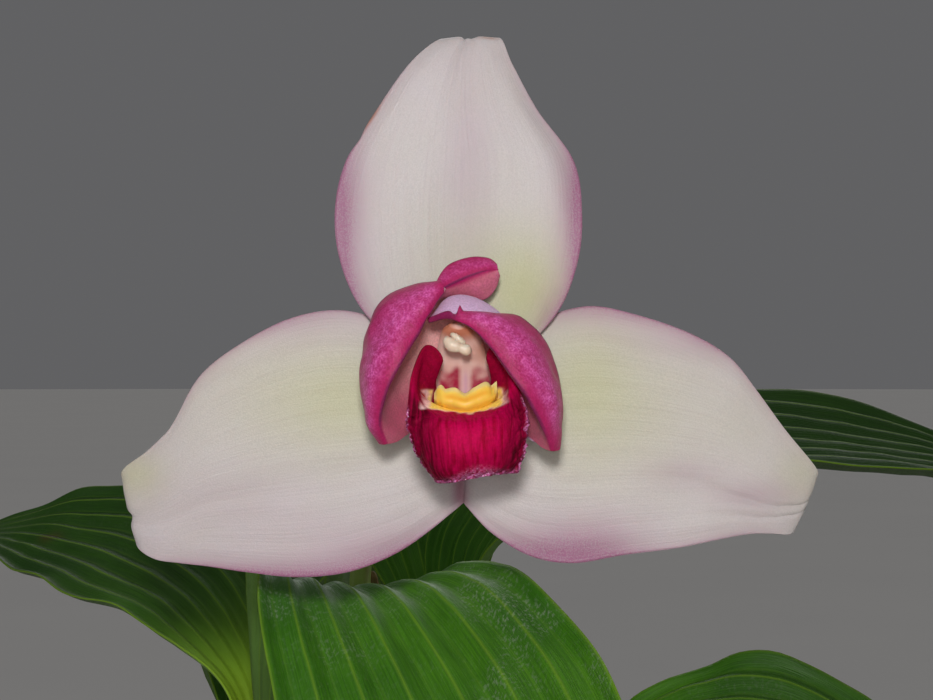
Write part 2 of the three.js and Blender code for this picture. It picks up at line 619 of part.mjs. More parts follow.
// The creeping stem that joins the bulbs, with roots that dive into the bark: x, y, z, radius
const RHIZOME = [
  [-54, 18, 110, 4.5],
  [-36, 26, 111, 5],
  [-14, 34, 111, 5.5],
  [8, 24, 111, 5.5],
  [22, 10, 111, 6],
  [4, -4, 111, 5.5],
  [-18, -16, 111, 6],
  [-32, -22, 110, 4.5],
];
const ROOTS = [ // where it leaves the stem, x, y; where it dives, x, y
  [-24, -19, -36, -44],
  [-14, -16, -2, -60],
  [-26, -20, -58, -26],
  [24, 8, 54, -14],
  [8, 0, 32, -36],
  [-10, 33, 4, 62],
];

function rhizome(grow = 0) {
  let made = solid(rod(RHIZOME, 12, 6, UPRIGHT, grow));
  ROOTS.forEach(([x, y, p, q]) => {
    const root = [
      [x, y, 110, 1.7],
      [mix(x, p, 0.33), mix(y, q, 0.33), 114.5, 1.7],
      [mix(x, p, 0.7), mix(y, q, 0.7), 115, 1.6],
      [p, q, 108, 1.5],
    ];
    made = made.add(solid(rod(root, 5, 5, UPRIGHT, grow)));
  });
  return made;
}

// The creeping stem as it stands, hollowed a little under each bulb
function seatedRhizome() {
  const bulbs = Object.values(BULBS).map((shape) => solid(bulb(shape, CLEAR)));
  return geometryFrom(largest(rhizome().subtract(wasm.Manifold.union(bulbs))));
}

// The bark that fills the pot, with loose chips standing out of its top, cut clear of what grows in it
function bark() {
  const inside = (z) => mix(POT.foot, POT.top, z / POT.height) - POT.wall - CLEAR;
  const floor = POT.floor + CLEAR;
  const profile = [
    [0, floor],
    [inside(floor), floor],
    [inside(BARK.top), BARK.top],
    [inside(BARK.top) * 0.55, BARK.top + BARK.dome * 0.7],
    [0, BARK.top + BARK.dome],
  ].map(([r, z]) => new THREE.Vector2(r, z));
  const draw = draws(11);
  const chips = range(BARK.chips).map((i) => {
    const away = Math.sqrt((i + 0.5) / BARK.chips) * (inside(BARK.top) - BARK.margin);
    const turn = i * 2.39996;
    const chip = new THREE.BoxGeometry(
      BARK.long * (0.6 + 0.6 * draw()),
      BARK.wide * (0.6 + 0.6 * draw()),
      BARK.thick * (0.6 + 0.7 * draw()),
    );
    chip.rotateX((draw() - 0.5) * 0.9);
    chip.rotateY((draw() - 0.5) * 0.7);
    chip.rotateZ(draw() * 2 * Math.PI);
    const height = BARK.top + BARK.dome * (1 - away / inside(BARK.top));
    chip.translate(away * Math.cos(turn), away * Math.sin(turn), height + 0.6);
    return solid(chip);
  });
  const shapes = Object.values(BULBS);
  const around = wasm.Manifold.union(shapes.map((shape) => solid(bulb(shape, HUSK_ROOM))));
  const bulbs = wasm.Manifold.union(shapes.map((shape) => solid(bulb(shape, CLEAR))));
  const body = solid(uprightLathe(profile, POT.sides)).subtract(bulbs);
  const hole = new THREE.CylinderGeometry(STALK_HOLE, STALK_HOLE, 30, 10);
  hole.rotateX(Math.PI / 2);
  hole.translate(STALK[0][0], STALK[0][1], STALK[0][2] - CLEAR + 15);
  const made = body.add(wasm.Manifold.union(chips).subtract(around));
  return geometryFrom(largest(made.subtract(rhizome(1.5 * CLEAR)).subtract(solid(hole))));
}

// The biggest of a solid's separate bodies, so that no loose scrap stays
function largest(made) {
  return made.decompose().reduce((best, body) => (body.volume() > best.volume() ? body : best));
}

// A lathe turned so that its axis is upright
function uprightLathe(profile, sides) {
  const made = new THREE.LatheGeometry(profile, sides);
  made.rotateX(Math.PI / 2);
  return made;
}

function pot() {
  const { height, foot, top, wall, floor, band, bandOut } = POT;
  const outside = (z) => mix(foot, top - bandOut, z / height);
  const inside = (z) => mix(foot, top, z / height) - wall;
  const profile = [
    [0, 0],
    [foot - 2, 0],
    [foot, 2],
    [outside(height - band) - 0.5, height - band],
    [outside(height - band) + bandOut - 1, height - band],
    [outside(height - band) + bandOut, height - band + 1],
    [top, height - 1.5],
    [top - 1.5, height],
    [inside(height) + 1.5, height],
    [inside(height), height - 1.5],
    [inside(floor), floor],
    [0, floor],
  ].map(([r, z]) => new THREE.Vector2(r, z));
  let made = solid(uprightLathe(profile, POT.sides));
  range(DRAIN.count).forEach((i) => {
    const turn = (2 * Math.PI * i) / DRAIN.count;
    const hole = new THREE.CylinderGeometry(DRAIN.radius, DRAIN.radius, 3 * floor, 12);
    hole.rotateX(Math.PI / 2);
    hole.translate(DRAIN.ring * Math.cos(turn), DRAIN.ring * Math.sin(turn), floor / 2);
    made = made.subtract(solid(hole));
  });
  return geometryFrom(made);
}

const paint = (color, roughness) => new THREE.MeshStandardMaterial({ color, roughness, metalness: 0 });
const PAINTS = {
  sepal: paint(0xd9cfc8, 0.6),
  petal: paint(0xb9307a, 0.55),
  lip: paint(0x8f0a35, 0.5),
  callus: paint(0xf0b93c, 0.45),
  column: paint(0xd9a9a4, 0.5),
  anther: paint(0xeee0cc, 0.5),
  leaf: paint(0x3f7a22, 0.45),
  stalk: paint(0x6d8a3a, 0.5),
  sheath: paint(0x8a8a4a, 0.6),
  bulb: paint(0x6f8f3c, 0.45),
  husk: paint(0xa88c5c, 0.8),
  root: paint(0xb8ad92, 0.8),
  bark: paint(0x6b4128, 0.9),
  clay: paint(0xb5623c, 0.85),
};

function mesh(name, geometry, material) {
  const made = new THREE.Mesh(geometry, material);
  made.name = name;
  return made;
}

function flower() {
  const group = new THREE.Group();
  group.position.set(...FLOWER);
  Object.entries(SEPALS).forEach(([name, stations]) => group.add(mesh(name, sepal(stations), PAINTS.sepal)));
  const left = solid(sheet(petalRows(PETALS.petal_left), PETAL.thick)).add(solid(ear()));
  group.add(mesh("petal_left", geometryFrom(left), PAINTS.petal));
  group.add(mesh("petal_right", sheet(petalRows(PETALS.petal_right), PETAL.thick), PAINTS.petal));
  group.add(mesh("lip", lip(), PAINTS.lip));
  group.add(mesh("callus", callus(), PAINTS.callus));
  group.add(mesh("column", column(), PAINTS.column));
  group.add(mesh("anther_cap", antherCap(), PAINTS.anther));
  return group;
}

const plant = new THREE.Group();
plant.add(flower());
Object.entries(LEAVES).forEach(([name, stations]) => plant.add(mesh(name, leaf(stations), PAINTS.leaf)));
plant.add(mesh("flower_stalk", rod(STALK, 26, 8, SIDEWAYS), PAINTS.stalk));
Object.entries(SHEATHS).forEach(([name, span]) => plant.add(mesh(name, sheath(span), PAINTS.sheath)));
Object.entries(BULBS).forEach(([name, shape]) => plant.add(mesh(name, bulb(shape), PAINTS.bulb)));
Object.entries(HUSKS).forEach(([name, shape]) => plant.add(mesh(name, husk(shape), PAINTS.husk)));
plant.add(mesh("rhizome", seatedRhizome(), PAINTS.root));
plant.add(mesh("bark", bark(), PAINTS.bark));
plant.add(mesh("pot", pot(), PAINTS.clay));

export default plant;
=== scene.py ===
"""The looks of a potted lycaste orchid: its flower, leaves, stalk, bulbs, roots, bark and clay pot.

Shapes are drawn in millimetres, in the part's own frame, and add_piece() takes them to metres. They
run through the same stations as the solids that they stand for, but for the right sepal's tip, which
is finer here. The flower's shapes are in its own frame: x to the right, y away from the viewer, z up.
"""
import math

import bpy
import numpy as np
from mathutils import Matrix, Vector


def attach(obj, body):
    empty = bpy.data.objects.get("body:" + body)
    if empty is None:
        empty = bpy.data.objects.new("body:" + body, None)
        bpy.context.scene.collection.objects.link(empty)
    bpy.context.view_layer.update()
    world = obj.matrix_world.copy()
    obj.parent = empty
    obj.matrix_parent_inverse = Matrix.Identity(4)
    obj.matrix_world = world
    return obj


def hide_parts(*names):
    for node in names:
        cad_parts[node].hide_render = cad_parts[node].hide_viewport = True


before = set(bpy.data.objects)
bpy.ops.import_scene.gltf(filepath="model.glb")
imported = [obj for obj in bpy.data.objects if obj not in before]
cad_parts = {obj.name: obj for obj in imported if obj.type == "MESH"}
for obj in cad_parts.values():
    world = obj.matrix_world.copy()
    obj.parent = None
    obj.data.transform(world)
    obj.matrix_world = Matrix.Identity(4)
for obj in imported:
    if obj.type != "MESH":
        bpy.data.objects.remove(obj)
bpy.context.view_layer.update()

MM = 0.001
FLOWER = np.array([20.0, -75.0, 300.0])  # the middle of the bloom
POT = dict(height=130, foot=54, top=80, wall=5, floor=7, band=24, band_out=3.5)
DRAIN = dict(count=5, radius=6, ring=33)
BARK = dict(top=112, dome=4, gap=0.8, foot_gap=0.7, chips=420, long=24, wide=14, thick=6)
GOLDEN_ANGLE = 2.39996  # turns a spiral's next place farthest from the last ones
NECK = 113  # the height of the bulbs' feet
PLEATS = 7  # of a leaf, from edge to edge, each with two slopes
SIDEWAYS = np.array([1.0, 0.0, 0.0])
UPRIGHT = np.array([0.0, 0.0, 1.0])
TO_VIEWER = np.array([0.0, -1.0, 0.0])


# Curves, grids and closed meshes

def through(stations, t):
    """The smooth curve through the stations, at every t from 0 to 1."""
    points = np.asarray(stations, float)
    first = 2 * points[:1] - points[1:2]
    end = 2 * points[-1:] - points[-2:-1]
    padded = np.concatenate([first, points, end])
    last = len(points) - 1
    at = np.clip(t, 0, 1) * last
    i = np.minimum(np.asarray(at).astype(int), last - 1)
    f = np.asarray(at - i)[..., None]
    a, b, c, d = (padded[i + k] for k in range(4))
    curved = (c - a) * f + (2 * a - 5 * b + 4 * c - d) * f**2 + (3 * b - 3 * c + d - a) * f**3
    return b + curved / 2


def unit(vectors):
    size = np.linalg.norm(vectors, axis=-1, keepdims=True)
    return vectors / np.maximum(size, 1e-9)


def mix(a, b, share):
    return a + (b - a) * share


def step(value, low, high):
    """From 0 below low to 1 above high, smoothly."""
    share = np.clip((value - low) / (high - low), 0, 1)
    return share * share * (3 - 2 * share)


def bell(value, middle, wide):
    return np.exp(-(((value - middle) / wide) ** 2))


def waves(points, size, seed, count=14):
    """A smooth random field over points, about -1 to 1, with humps about the given size."""
    draw = np.random.default_rng(seed)
    ways = unit(draw.normal(size=(count, 3))) * (math.pi / size) * draw.uniform(0.6, 1.6, (count, 1))
    turns = draw.uniform(0, 2 * math.pi, count)
    return np.sin(points @ ways.T + turns).sum(-1) / math.sqrt(count)


def grid(rows, across):
    """t along and s across, both from 0 to 1, over a grid."""
    return np.meshgrid(np.linspace(0, 1, rows), np.linspace(0, 1, across), indexing="ij")


def around(sides):
    """The angles of one full turn."""
    return np.linspace(0, 2 * math.pi, sides, endpoint=False)


def round_grid(steps, sides):
    """t along, from 0 to 1, and the angle round, over the grid of a tube."""
    return np.meshgrid(np.linspace(0, 1, steps), around(sides), indexing="ij")


def parabola(f, start, middle, end):
    """The value at f, from 0 to 1, on the parabola through a start, a middle and an end."""
    return start * (1 - f) * (1 - 2 * f) + middle * 4 * f * (1 - f) + end * f * (2 * f - 1)


def lathe(profile, sides):
    """Rings of a turned body from its profile of radius and height."""
    radius, height = np.array(profile, float).T[..., None]
    turn = around(sides)
    return np.stack([radius * np.cos(turn), radius * np.sin(turn), height * np.ones(sides)], -1)


def normals_of(points, toward):
    """The sheet's normals, on the side that mostly looks toward the given direction."""
    along = np.gradient(points, axis=0)
    across = np.gradient(points, axis=1)
    out = unit(np.cross(along, across))
    return out if (out @ toward).sum() > 0 else -out


def shell(points, normals, thick):
    """A closed thin sheet: its vertices, all of the front and then all of the back, and its faces."""
    rows, across = points.shape[:2]
    shift = normals * np.broadcast_to(thick, (rows, across))[..., None] / 2
    vertices = np.concatenate([(points + shift).reshape(-1, 3), (points - shift).reshape(-1, 3)])
    count = rows * across
    index = np.arange(count).reshape(rows, across)
    corners = [index[:-1, :-1], index[1:, :-1], index[1:, 1:], index[:-1, 1:]]
    front = np.stack(corners, -1).reshape(-1, 4)
    rim = np.concatenate([index[0, :-1], index[:-1, -1], index[-1, :0:-1], index[:0:-1, 0]])
    after = np.roll(rim, -1)
    edge = np.stack([rim, after, after + count, rim + count], -1)
    faces = np.concatenate([front, front[:, ::-1] + count, edge])
    natural = np.cross(np.gradient(points, axis=0), np.gradient(points, axis=1))
    if (natural * normals).sum() < 0:
        faces = faces[:, ::-1]
    return vertices, faces


def tube(rings):
    """A closed body from rings of points, one after another. The end rings are closed by fans."""
    count, sides = rings.shape[:2]
    index = np.arange(count * sides).reshape(count, sides)
    after = np.roll(index, -1, axis=1)
    walls = np.stack([index[:-1], after[:-1], after[1:], index[1:]], -1).reshape(-1, 4)
    ends = [rings[0].mean(0), rings[-1].mean(0)]
    vertices = np.concatenate([rings.reshape(-1, 3), ends])
    foot = np.full(sides, count * sides)
    first_fan = np.stack([foot, after[0], index[0]], -1)
    last_fan = np.stack([foot + 1, index[-1], after[-1]], -1)
    faces = walls.tolist() + first_fan.tolist() + last_fan.tolist()
    middle = rings.mean(1, keepdims=True)
    ahead = np.gradient(middle[:, 0], axis=0)
    turned = np.cross(rings - middle, np.roll(rings, -1, axis=1) - middle)
    if (turned * ahead[:, None]).sum() < 0:
        faces = [face[::-1] for face in faces]
    return vertices, faces


def frames_along(stations, t, aside):
    """The places on a curve, with two directions square to it at each."""
    here = through(stations, t)
    before = through(stations, np.clip(t - 0.01, 0, 1))
    ahead = through(stations, np.clip(t + 0.01, 0, 1))
    along = unit((ahead - before)[..., :3])
    one = unit(np.cross(aside, along))
    return here, along, one, np.cross(along, one)


def rod(stations, steps, sides, aside, relief=None):
    """Rings of a round rod along stations of x, y, z and radius."""
    t = np.linspace(0, 1, steps + 1)
    here, _, one, two = frames_along(stations, t, aside)
    turn = around(sides)
    out = one[:, None] * np.cos(turn)[None, :, None] + two[:, None] * np.sin(turn)[None, :, None]
    radius = here[:, 3:4] * np.ones(sides)
    rings = here[:, None, :3] + out * radius[..., None]
    if relief is not None:
        rings = rings + out * relief(rings, t[:, None] * np.ones(sides), turn)[..., None]
    return rings


def joined(parts):
    """Several closed bodies as one list of vertices and one of faces."""
    vertices = []
    faces = []
    total = 0
    for some_vertices, some_faces in parts:
        vertices.append(np.asarray(some_vertices))
        faces += [[corner + total for corner in face] for face in np.asarray(some_faces, object).tolist()]
        total += len(some_vertices)
    return np.concatenate(vertices), faces


def in_scene(name, data):
    """A new object of the scene, with this mesh, light or camera."""
    made = bpy.data.objects.new(name, data)
    bpy.context.scene.collection.objects.link(made)
    return made


def add_piece(name, body, slot, uv=None, marks=None):
    """Makes a piece of the part, with its slot's paint, that stands for the node of its name."""
    vertices, faces = body
    mesh = bpy.data.meshes.new(name)
    mesh.from_pydata((np.asarray(vertices) * MM).tolist(), [], [list(face) for face in faces])
    corners = np.empty(len(mesh.loops), int)
    mesh.loops.foreach_get("vertex_index", corners)
    if uv is not None:
        layer = mesh.uv_layers.new(name="UVMap")
        layer.data.foreach_set("uv", np.asarray(uv, np.float32)[corners].ravel())
    for key, values in (marks or {}).items():
        values = np.asarray(values, np.float32)
        if values.ndim == 1:
            mesh.attributes.new(key, "FLOAT", "POINT").data.foreach_set("value", values)
        else:
            mesh.attributes.new(key, "FLOAT_COLOR", "POINT").data.foreach_set("color", values.ravel())
    mesh.materials.append(PAINTS[slot])
    mesh.shade_smooth()
    mesh.update()
    piece = in_scene(name, mesh)
    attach(piece, "root")
    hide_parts(name)
    return piece


def add_sheet(name, slot, points, normals, thick, t, s, marks):
    """A piece that is one closed sheet: the mark under is on its back, all others on both sides."""
    marks = {key: both_sides(values) for key, values in marks.items()}
    marks["under"] = on_back(t)
    add_piece(name, shell(points, normals, thick), slot, sheet_uv(t, s), marks)


def both_sides(values):
    """A grid's values for the front and again for the back of its shell."""
    flat = np.asarray(values).reshape(-1, *np.shape(values)[2:])
    return np.concatenate([flat, flat])


def on_back(values):
    count = np.asarray(values).size
    return np.concatenate([np.zeros(count), np.ones(count)])


def sheet_uv(t, s):
    return both_sides(np.stack([s, t], -1))


def with_ends(values, end=0.0):
    """A tube's values, ring by ring, and then the two for the middles of its ends."""
    flat = values.reshape(-1, *values.shape[2:])
    return np.concatenate([flat, np.full((2, *flat.shape[1:]), end)])


def channels(*values):
    """Up to three marks in one, as the red, green and blue of a colour."""
    packed = np.zeros((*np.shape(values[0]), 4))
    for k, value in enumerate(values):
        packed[..., k] = value
    return packed


# Paints

def tint(red, green, blue):
    """A colour given from 0 to 255, as the eye sees it, turned linear."""
    values = np.array([red, green, blue]) / 255
    linear = np.where(values <= 0.04045, values / 12.92, ((values + 0.055) / 1.055) ** 2.4)
    return (*linear.tolist(), 1.0)


class Paint:
    """A material made by short calls: a ground colour, then coats over it, then its finish.

    The calls that measure or mix give a socket, for the next ones to use.
    """

    def __init__(self, name, **finish):
        self.material = bpy.data.materials.new(name)
        self.material.use_nodes = True
        self.tree = self.material.node_tree
        self.shader = self.tree.nodes["Principled BSDF"]
        for key, value in finish.items():
            self.shader.inputs[key.replace("_", " ")].default_value = value

    def feed(self, socket, value):
        if isinstance(value, bpy.types.NodeSocket):
            self.tree.links.new(value, socket)
        else:
            socket.default_value = value

    def node(self, kind, inputs, output=0, **settings):
        made = self.tree.nodes.new("ShaderNode" + kind)
        for key, value in settings.items():
            setattr(made, key, value)
        for key, value in inputs.items():
            self.feed(made.inputs[key], value)
        return made.outputs[output]

    def place(self, stretch=(1, 1, 1), kind="Object"):
        """Where a point is, in metres for Object, or its s and t for UV."""
        at = self.node("TexCoord", {}, kind)
        return self.node("VectorMath", {0: at, 1: stretch}, operation="MULTIPLY")

    def mark(self, name):
        return self.node("Attribute", {}, "Fac", attribute_name=name)

    def marks(self, name):
        color = self.node("Attribute", {}, "Color", attribute_name=name)
        split = self.tree.nodes.new("ShaderNodeSeparateColor")
        self.tree.links.new(color, split.inputs[0])
        return [split.outputs[k] for k in range(3)]

    def noise(self, scale, detail=2.0, stretch=(1, 1, 1), kind="Object", distort=0.0):
        inputs = {"Vector": self.place(stretch, kind), "Scale": scale, "Detail": detail}
        return self.node("TexNoise", {**inputs, "Distortion": distort})

    def cells(self, scale):
        return self.node("TexVoronoi", {"Vector": self.place(), "Scale": scale}, "Distance")

    def level(self, value, low, high, to_low=0.0, to_high=1.0):
        inputs = {"Value": value, "From Min": low, "From Max": high}
        return self.node("MapRange", {**inputs, "To Min": to_low, "To Max": to_high},
                         interpolation_type="SMOOTHSTEP")

    def times(self, a, b):
        return self.node("Math", {0: a, 1: b}, operation="MULTIPLY")

    def plus(self, a, b):
        return self.node("Math", {0: a, 1: b}, operation="ADD")

    def mix(self, share, a, b):
        return self.node("Mix", {0: share, 6: a, 7: b}, 2, data_type="RGBA")

    def ground(self, share, a, b):
        """The first colour, between a and b."""
        self.color = self.mix(share, a, b)

    def coat(self, share, color):
        """Lays a colour over what is there, to show by its share, from 0 to 1."""
        self.color = self.mix(share, self.color, color)

    def vary(self, value, amount):
        """Makes the colour darker and lighter by up to the amount, as value goes from 0 to 1."""
        factor = self.level(value, 0.25, 0.75, 1 - amount, 1 + amount)
        self.color = self.node("VectorMath", {0: self.color, "Scale": factor}, operation="SCALE")

    def finish(self, height=None, distance=0.0002, strength=0.6, rough=None):
        self.feed(self.shader.inputs["Base Color"], self.color)
        if rough is not None:
            self.feed(self.shader.inputs["Roughness"], rough)
        if height is not None:
            inputs = {"Height": height, "Distance": distance, "Strength": strength}
            self.tree.links.new(self.node("Bump", inputs, "Normal"), self.shader.inputs["Normal"])
        return self.material


def tissue(name, rough, sheen=0.15, specular=0.4, glow=0.12):
    """The start of a petal-like paint: soft, a little see-through at its skin."""
    paint = Paint(name, Roughness=rough, Sheen_Weight=sheen, Specular_IOR_Level=specular)
    paint.shader.inputs["Subsurface Weight"].default_value = glow
    paint.shader.inputs["Subsurface Radius"].default_value = (1.0, 0.5, 0.35)
    paint.shader.inputs["Subsurface Scale"].default_value = 0.0015
    return paint


def sepal_paint():
    paint = tissue("sepal", 0.5)
    green, pink, magenta = paint.marks("tone")
    fine = paint.noise(3600, 2)
    patch = paint.noise(90, 3)
    vein = paint.noise(9, 3, (9, 0.5, 1), "UV")
    paint.ground(patch, tint(189, 180, 182), tint(186, 179, 173))
    paint.coat(paint.level(vein, 0.42, 0.7, 0, 0.2), tint(178, 160, 167))
    paint.coat(green, tint(175, 175, 126))
    paint.coat(paint.times(pink, paint.level(fine, 0.3, 0.7, 0.75, 1.1)), tint(144, 86, 118))
    paint.coat(paint.times(magenta, paint.level(patch, 0.3, 0.7, 0.7, 1.0)), tint(128, 30, 76))
    paint.coat(paint.mark("brown"), tint(150, 92, 58))
    paint.vary(fine, 0.06)
    height = paint.plus(paint.times(fine, 0.5), paint.times(vein, 0.8))
    return paint.finish(height, 0.0003, 0.35)


def petal_paint():
    paint = tissue("petal", 0.5, 0.05, 0.25)
    wall, painted_highlight, painted_fold_shade = paint.marks("tone")
    fine = paint.noise(2400, 2)
    blotch = paint.noise(620, 3)
    # The painted highlight's colour, for the lit middle of each rolled-back part.
    light = paint.mix(paint.level(fine, 0.3, 0.7), tint(186, 52, 128), tint(206, 98, 164))
    # The inner wall's pale pink, made lighter than its own colour as painted light for the pocket that the
    # lamps barely reach.
    inner = paint.mix(blotch, tint(246, 190, 182), tint(232, 164, 166))
    lavender = paint.mix(blotch, tint(206, 174, 204), tint(196, 160, 194))
    paint.ground(blotch, tint(150, 12, 72), tint(174, 24, 94))
    paint.coat(paint.times(painted_highlight, paint.level(blotch, 0.3, 0.7, 0.35, 1.0)), light)
    paint.coat(wall, inner)
    paint.coat(paint.mark("outside"), lavender)
    # Painted shade along the folds and the turned-away margins.
    paint.coat(painted_fold_shade, tint(96, 26, 70))
    paint.vary(fine, 0.12)
    return paint.finish(fine, 0.0003, 0.4)


def lip_paint():
    paint = tissue("lip", 0.6, 0.0, 0.04, 0.05)
    yellow, pale, dark = paint.marks("tone")
    glitter = paint.mark("glitter")
    fine = paint.noise(1700, 2)
    ray = paint.noise(7, 4, (5, 0.9, 1), "UV", 0.5)
    blotch = paint.noise(330, 2)
    painted_glints = paint.level(paint.cells(1700), 0.0, 0.32, 1.0, 0.0)
    paint.ground(paint.level(ray, 0.3, 0.62), tint(146, 1, 42), tint(180, 3, 70))
    # Painted shade over the lip's sides, its lower end and its left fold.
    paint.coat(paint.times(dark, paint.level(ray, 0.3, 0.65, 1.0, 0.6)), tint(78, 1, 22))
    paint.coat(paint.mark("lobe"), tint(126, 4, 38))
    paint.coat(paint.mark("streak"), tint(196, 58, 40))
    paint.coat(paint.times(pale, paint.level(blotch, 0.3, 0.6, 0.6, 1.0)), tint(240, 196, 192))
    paint.coat(yellow, tint(246, 208, 96))
    paint.coat(paint.times(glitter, paint.level(fine, 0.36, 0.6, 0.1, 0.9)), tint(206, 120, 176))
    # Painted glints: white sparks over the fringe's pale pink.
    paint.coat(paint.times(glitter, painted_glints), tint(246, 220, 238))
    paint.vary(fine, 0.12)
    return paint.finish(paint.plus(fine, paint.times(ray, 1.2)), 0.0003, 0.4)


def callus_paint():
    paint = tissue("callus", 0.42, 0.0, 0.4, 0.2)
    orange, pale, _ = paint.marks("tone")
    paint.ground(paint.noise(500, 3), tint(248, 208, 90), tint(242, 194, 72))
    paint.coat(pale, tint(246, 222, 150))
    paint.coat(orange, tint(240, 156, 24))
    return paint.finish(paint.noise(900, 2), 0.0002, 0.3)


def column_paint():
    paint = tissue("column", 0.42, 0.0, 0.4, 0.2)
    brown, patch, pale = paint.marks("tone")
    blotch = paint.noise(420, 3)
    # The column's pale flesh, made lighter than its own colour as painted light for its place deep among
    # the petals.
    paint.ground(blotch, tint(240, 204, 192), tint(226, 180, 168))
    paint.coat(brown, tint(182, 104, 70))
    paint.coat(paint.times(patch, paint.level(blotch, 0.25, 0.6, 0.75, 1.0)), tint(168, 18, 62))
    paint.coat(pale, tint(214, 160, 184))
    return paint.finish(paint.noise(1200, 2), 0.0002, 0.3)


def anther_paint():
    paint = tissue("anther", 0.36, 0.0, 0.5, 0.25)
    paint.ground(paint.noise(500, 3), tint(228, 212, 192), tint(208, 182, 156))
    return paint.finish(paint.noise(1300, 2), 0.0002, 0.25)


def leaf_paint():
    paint = Paint("leaf", Roughness=0.5, Specular_IOR_Level=0.15)
    rib, young, dusty = paint.marks("tone")
    under = paint.mark("under")
    patch = paint.noise(38, 4)
    thread = paint.noise(16, 3, (15, 1.1, 1), "UV")
    dust = paint.noise(1500, 4, (1, 1, 0.6))
    smear = paint.noise(45, 4, distort=0.8)
    cloud = paint.times(dusty, paint.level(smear, 0.46, 0.68, 0.12, 1.0))
    paint.ground(paint.level(patch, 0.3, 0.7), tint(44, 92, 10), tint(66, 116, 18))
    paint.coat(paint.level(thread, 0.4, 0.62, 0.0, 0.5), tint(34, 74, 10))
    paint.coat(young, tint(132, 160, 34))
    paint.coat(paint.times(under, 0.6), tint(104, 136, 68))
    paint.coat(paint.times(cloud, paint.level(dust, 0.5, 0.66, 0.04, 0.42)), tint(136, 146, 128))
    paint.coat(paint.mark("spot"), tint(104, 58, 34))
    # Painted shade: darker green on the leaves that sit back in shade, and on every leaf's stalk.
    paint.coat(paint.mark("deep"), tint(12, 30, 5))
    paint.coat(paint.times(rib, 0.42), tint(112, 144, 36))
    dull = paint.plus(paint.times(under, 0.15), paint.times(rib, 0.4))
    rough = paint.plus(paint.level(dust, 0.35, 0.7, 0.42, 0.56), dull)
    height = paint.plus(thread, paint.times(paint.noise(900, 2), 0.35))
    return paint.finish(height, 0.0005, 0.4, rough)


def stalk_paint():
    paint = Paint("stalk", Roughness=0.42)
    fleck = paint.noise(260, 4, (1, 1, 0.35))
    paint.ground(paint.noise(45, 3), tint(112, 138, 56), tint(134, 152, 74))
    paint.coat(paint.level(fleck, 0.55, 0.75, 0, 0.5), tint(104, 78, 44))
    paint.coat(paint.mark("blush"), tint(158, 108, 92))
    return paint.finish(fleck, 0.0003, 0.4)


def papery_paint(name, light, dark, edge, fibres):
    """Dry or half-dry bract: blotches, lengthwise fibres and a browner torn edge."""
    paint = Paint(name, Roughness=0.62, Specular_IOR_Level=0.3)
    fibre = paint.noise(fibres, 5, (6, 0.5, 1), "UV")
    paint.ground(paint.level(paint.noise(120, 4), 0.3, 0.7), light, dark)
    paint.coat(paint.level(fibre, 0.42, 0.66, 0, 0.6), edge)
    paint.coat(paint.times(paint.mark("worn"), 0.8), edge)
    return paint.finish(fibre, 0.0006, 0.6)


def bulb_paint():
    paint = Paint("bulb", Roughness=0.4)
    ridge, aged, _ = paint.marks("tone")
    patch = paint.noise(60, 4)
    fibre = paint.noise(300, 4, (1, 1, 0.18))
    paint.ground(paint.level(patch, 0.3, 0.7), tint(96, 124, 44), tint(128, 150, 66))
    paint.coat(paint.times(ridge, 0.5), tint(70, 92, 30))
    paint.coat(aged, tint(142, 132, 70))
    paint.coat(paint.level(fibre, 0.55, 0.75, 0, 0.5), tint(98, 88, 42))
    paint.coat(paint.mark("brown"), tint(98, 66, 36))
    return paint.finish(paint.plus(fibre, paint.times(patch, 0.6)), 0.0006, 0.45)


def root_paint():
    paint = Paint("root", Roughness=0.75)
    paint.ground(paint.level(paint.noise(90, 5), 0.35, 0.65), tint(176, 166, 138), tint(138, 122, 90))
    paint.coat(paint.level(paint.noise(350, 4), 0.55, 0.75, 0, 0.7), tint(92, 72, 48))
    return paint.finish(paint.noise(500, 4), 0.0007, 0.7)


def bark_paint():
    paint = Paint("bark", Roughness=0.88, Specular_IOR_Level=0.25)
    layer = paint.noise(240, 5, (1, 1, 2.6), distort=0.8)
    grit = paint.noise(1100, 4)
    paint.ground(paint.mark("own"), tint(92, 54, 34), tint(146, 96, 62))
    paint.coat(paint.level(layer, 0.4, 0.62, 0, 0.75), tint(62, 36, 24))
    paint.coat(paint.level(grit, 0.6, 0.8, 0, 0.6), tint(168, 130, 96))
    # Painted shade on the bed under the chips and on the chips that lie low.
    paint.coat(paint.mark("deep"), tint(38, 24, 17))
    return paint.finish(paint.plus(layer, paint.times(grit, 0.5)), 0.0012, 0.8)


def clay_paint():
    paint = Paint("clay", Roughness=0.82, Specular_IOR_Level=0.25)
    cloud = paint.noise(16, 4)
    grit = paint.noise(1300, 3)
    streak = paint.noise(60, 4, (1, 1, 0.2))
    bloom = paint.times(paint.mark("lime"), paint.level(streak, 0.42, 0.66))
    damp = paint.times(paint.mark("damp"), paint.level(cloud, 0.25, 0.75, 0.2, 0.7))
    paint.ground(paint.level(cloud, 0.3, 0.7), tint(184, 104, 70), tint(200, 124, 86))
    paint.coat(paint.times(bloom, 0.35), tint(222, 204, 188))
    paint.coat(damp, tint(132, 74, 50))
    paint.coat(paint.level(grit, 0.62, 0.72, 0, 0.45), tint(120, 62, 40))
    return paint.finish(paint.plus(grit, streak), 0.0004, 0.5)


def floor_paint():
    paint = Paint("floor", Roughness=0.7, Specular_IOR_Level=0.2)
    paint.ground(paint.noise(3, 2), tint(216, 214, 210), tint(211, 209, 206))
    return paint.finish()


# Sepals: one edge's x, z, the other edge's x, z, then depth at one edge, middle, other edge

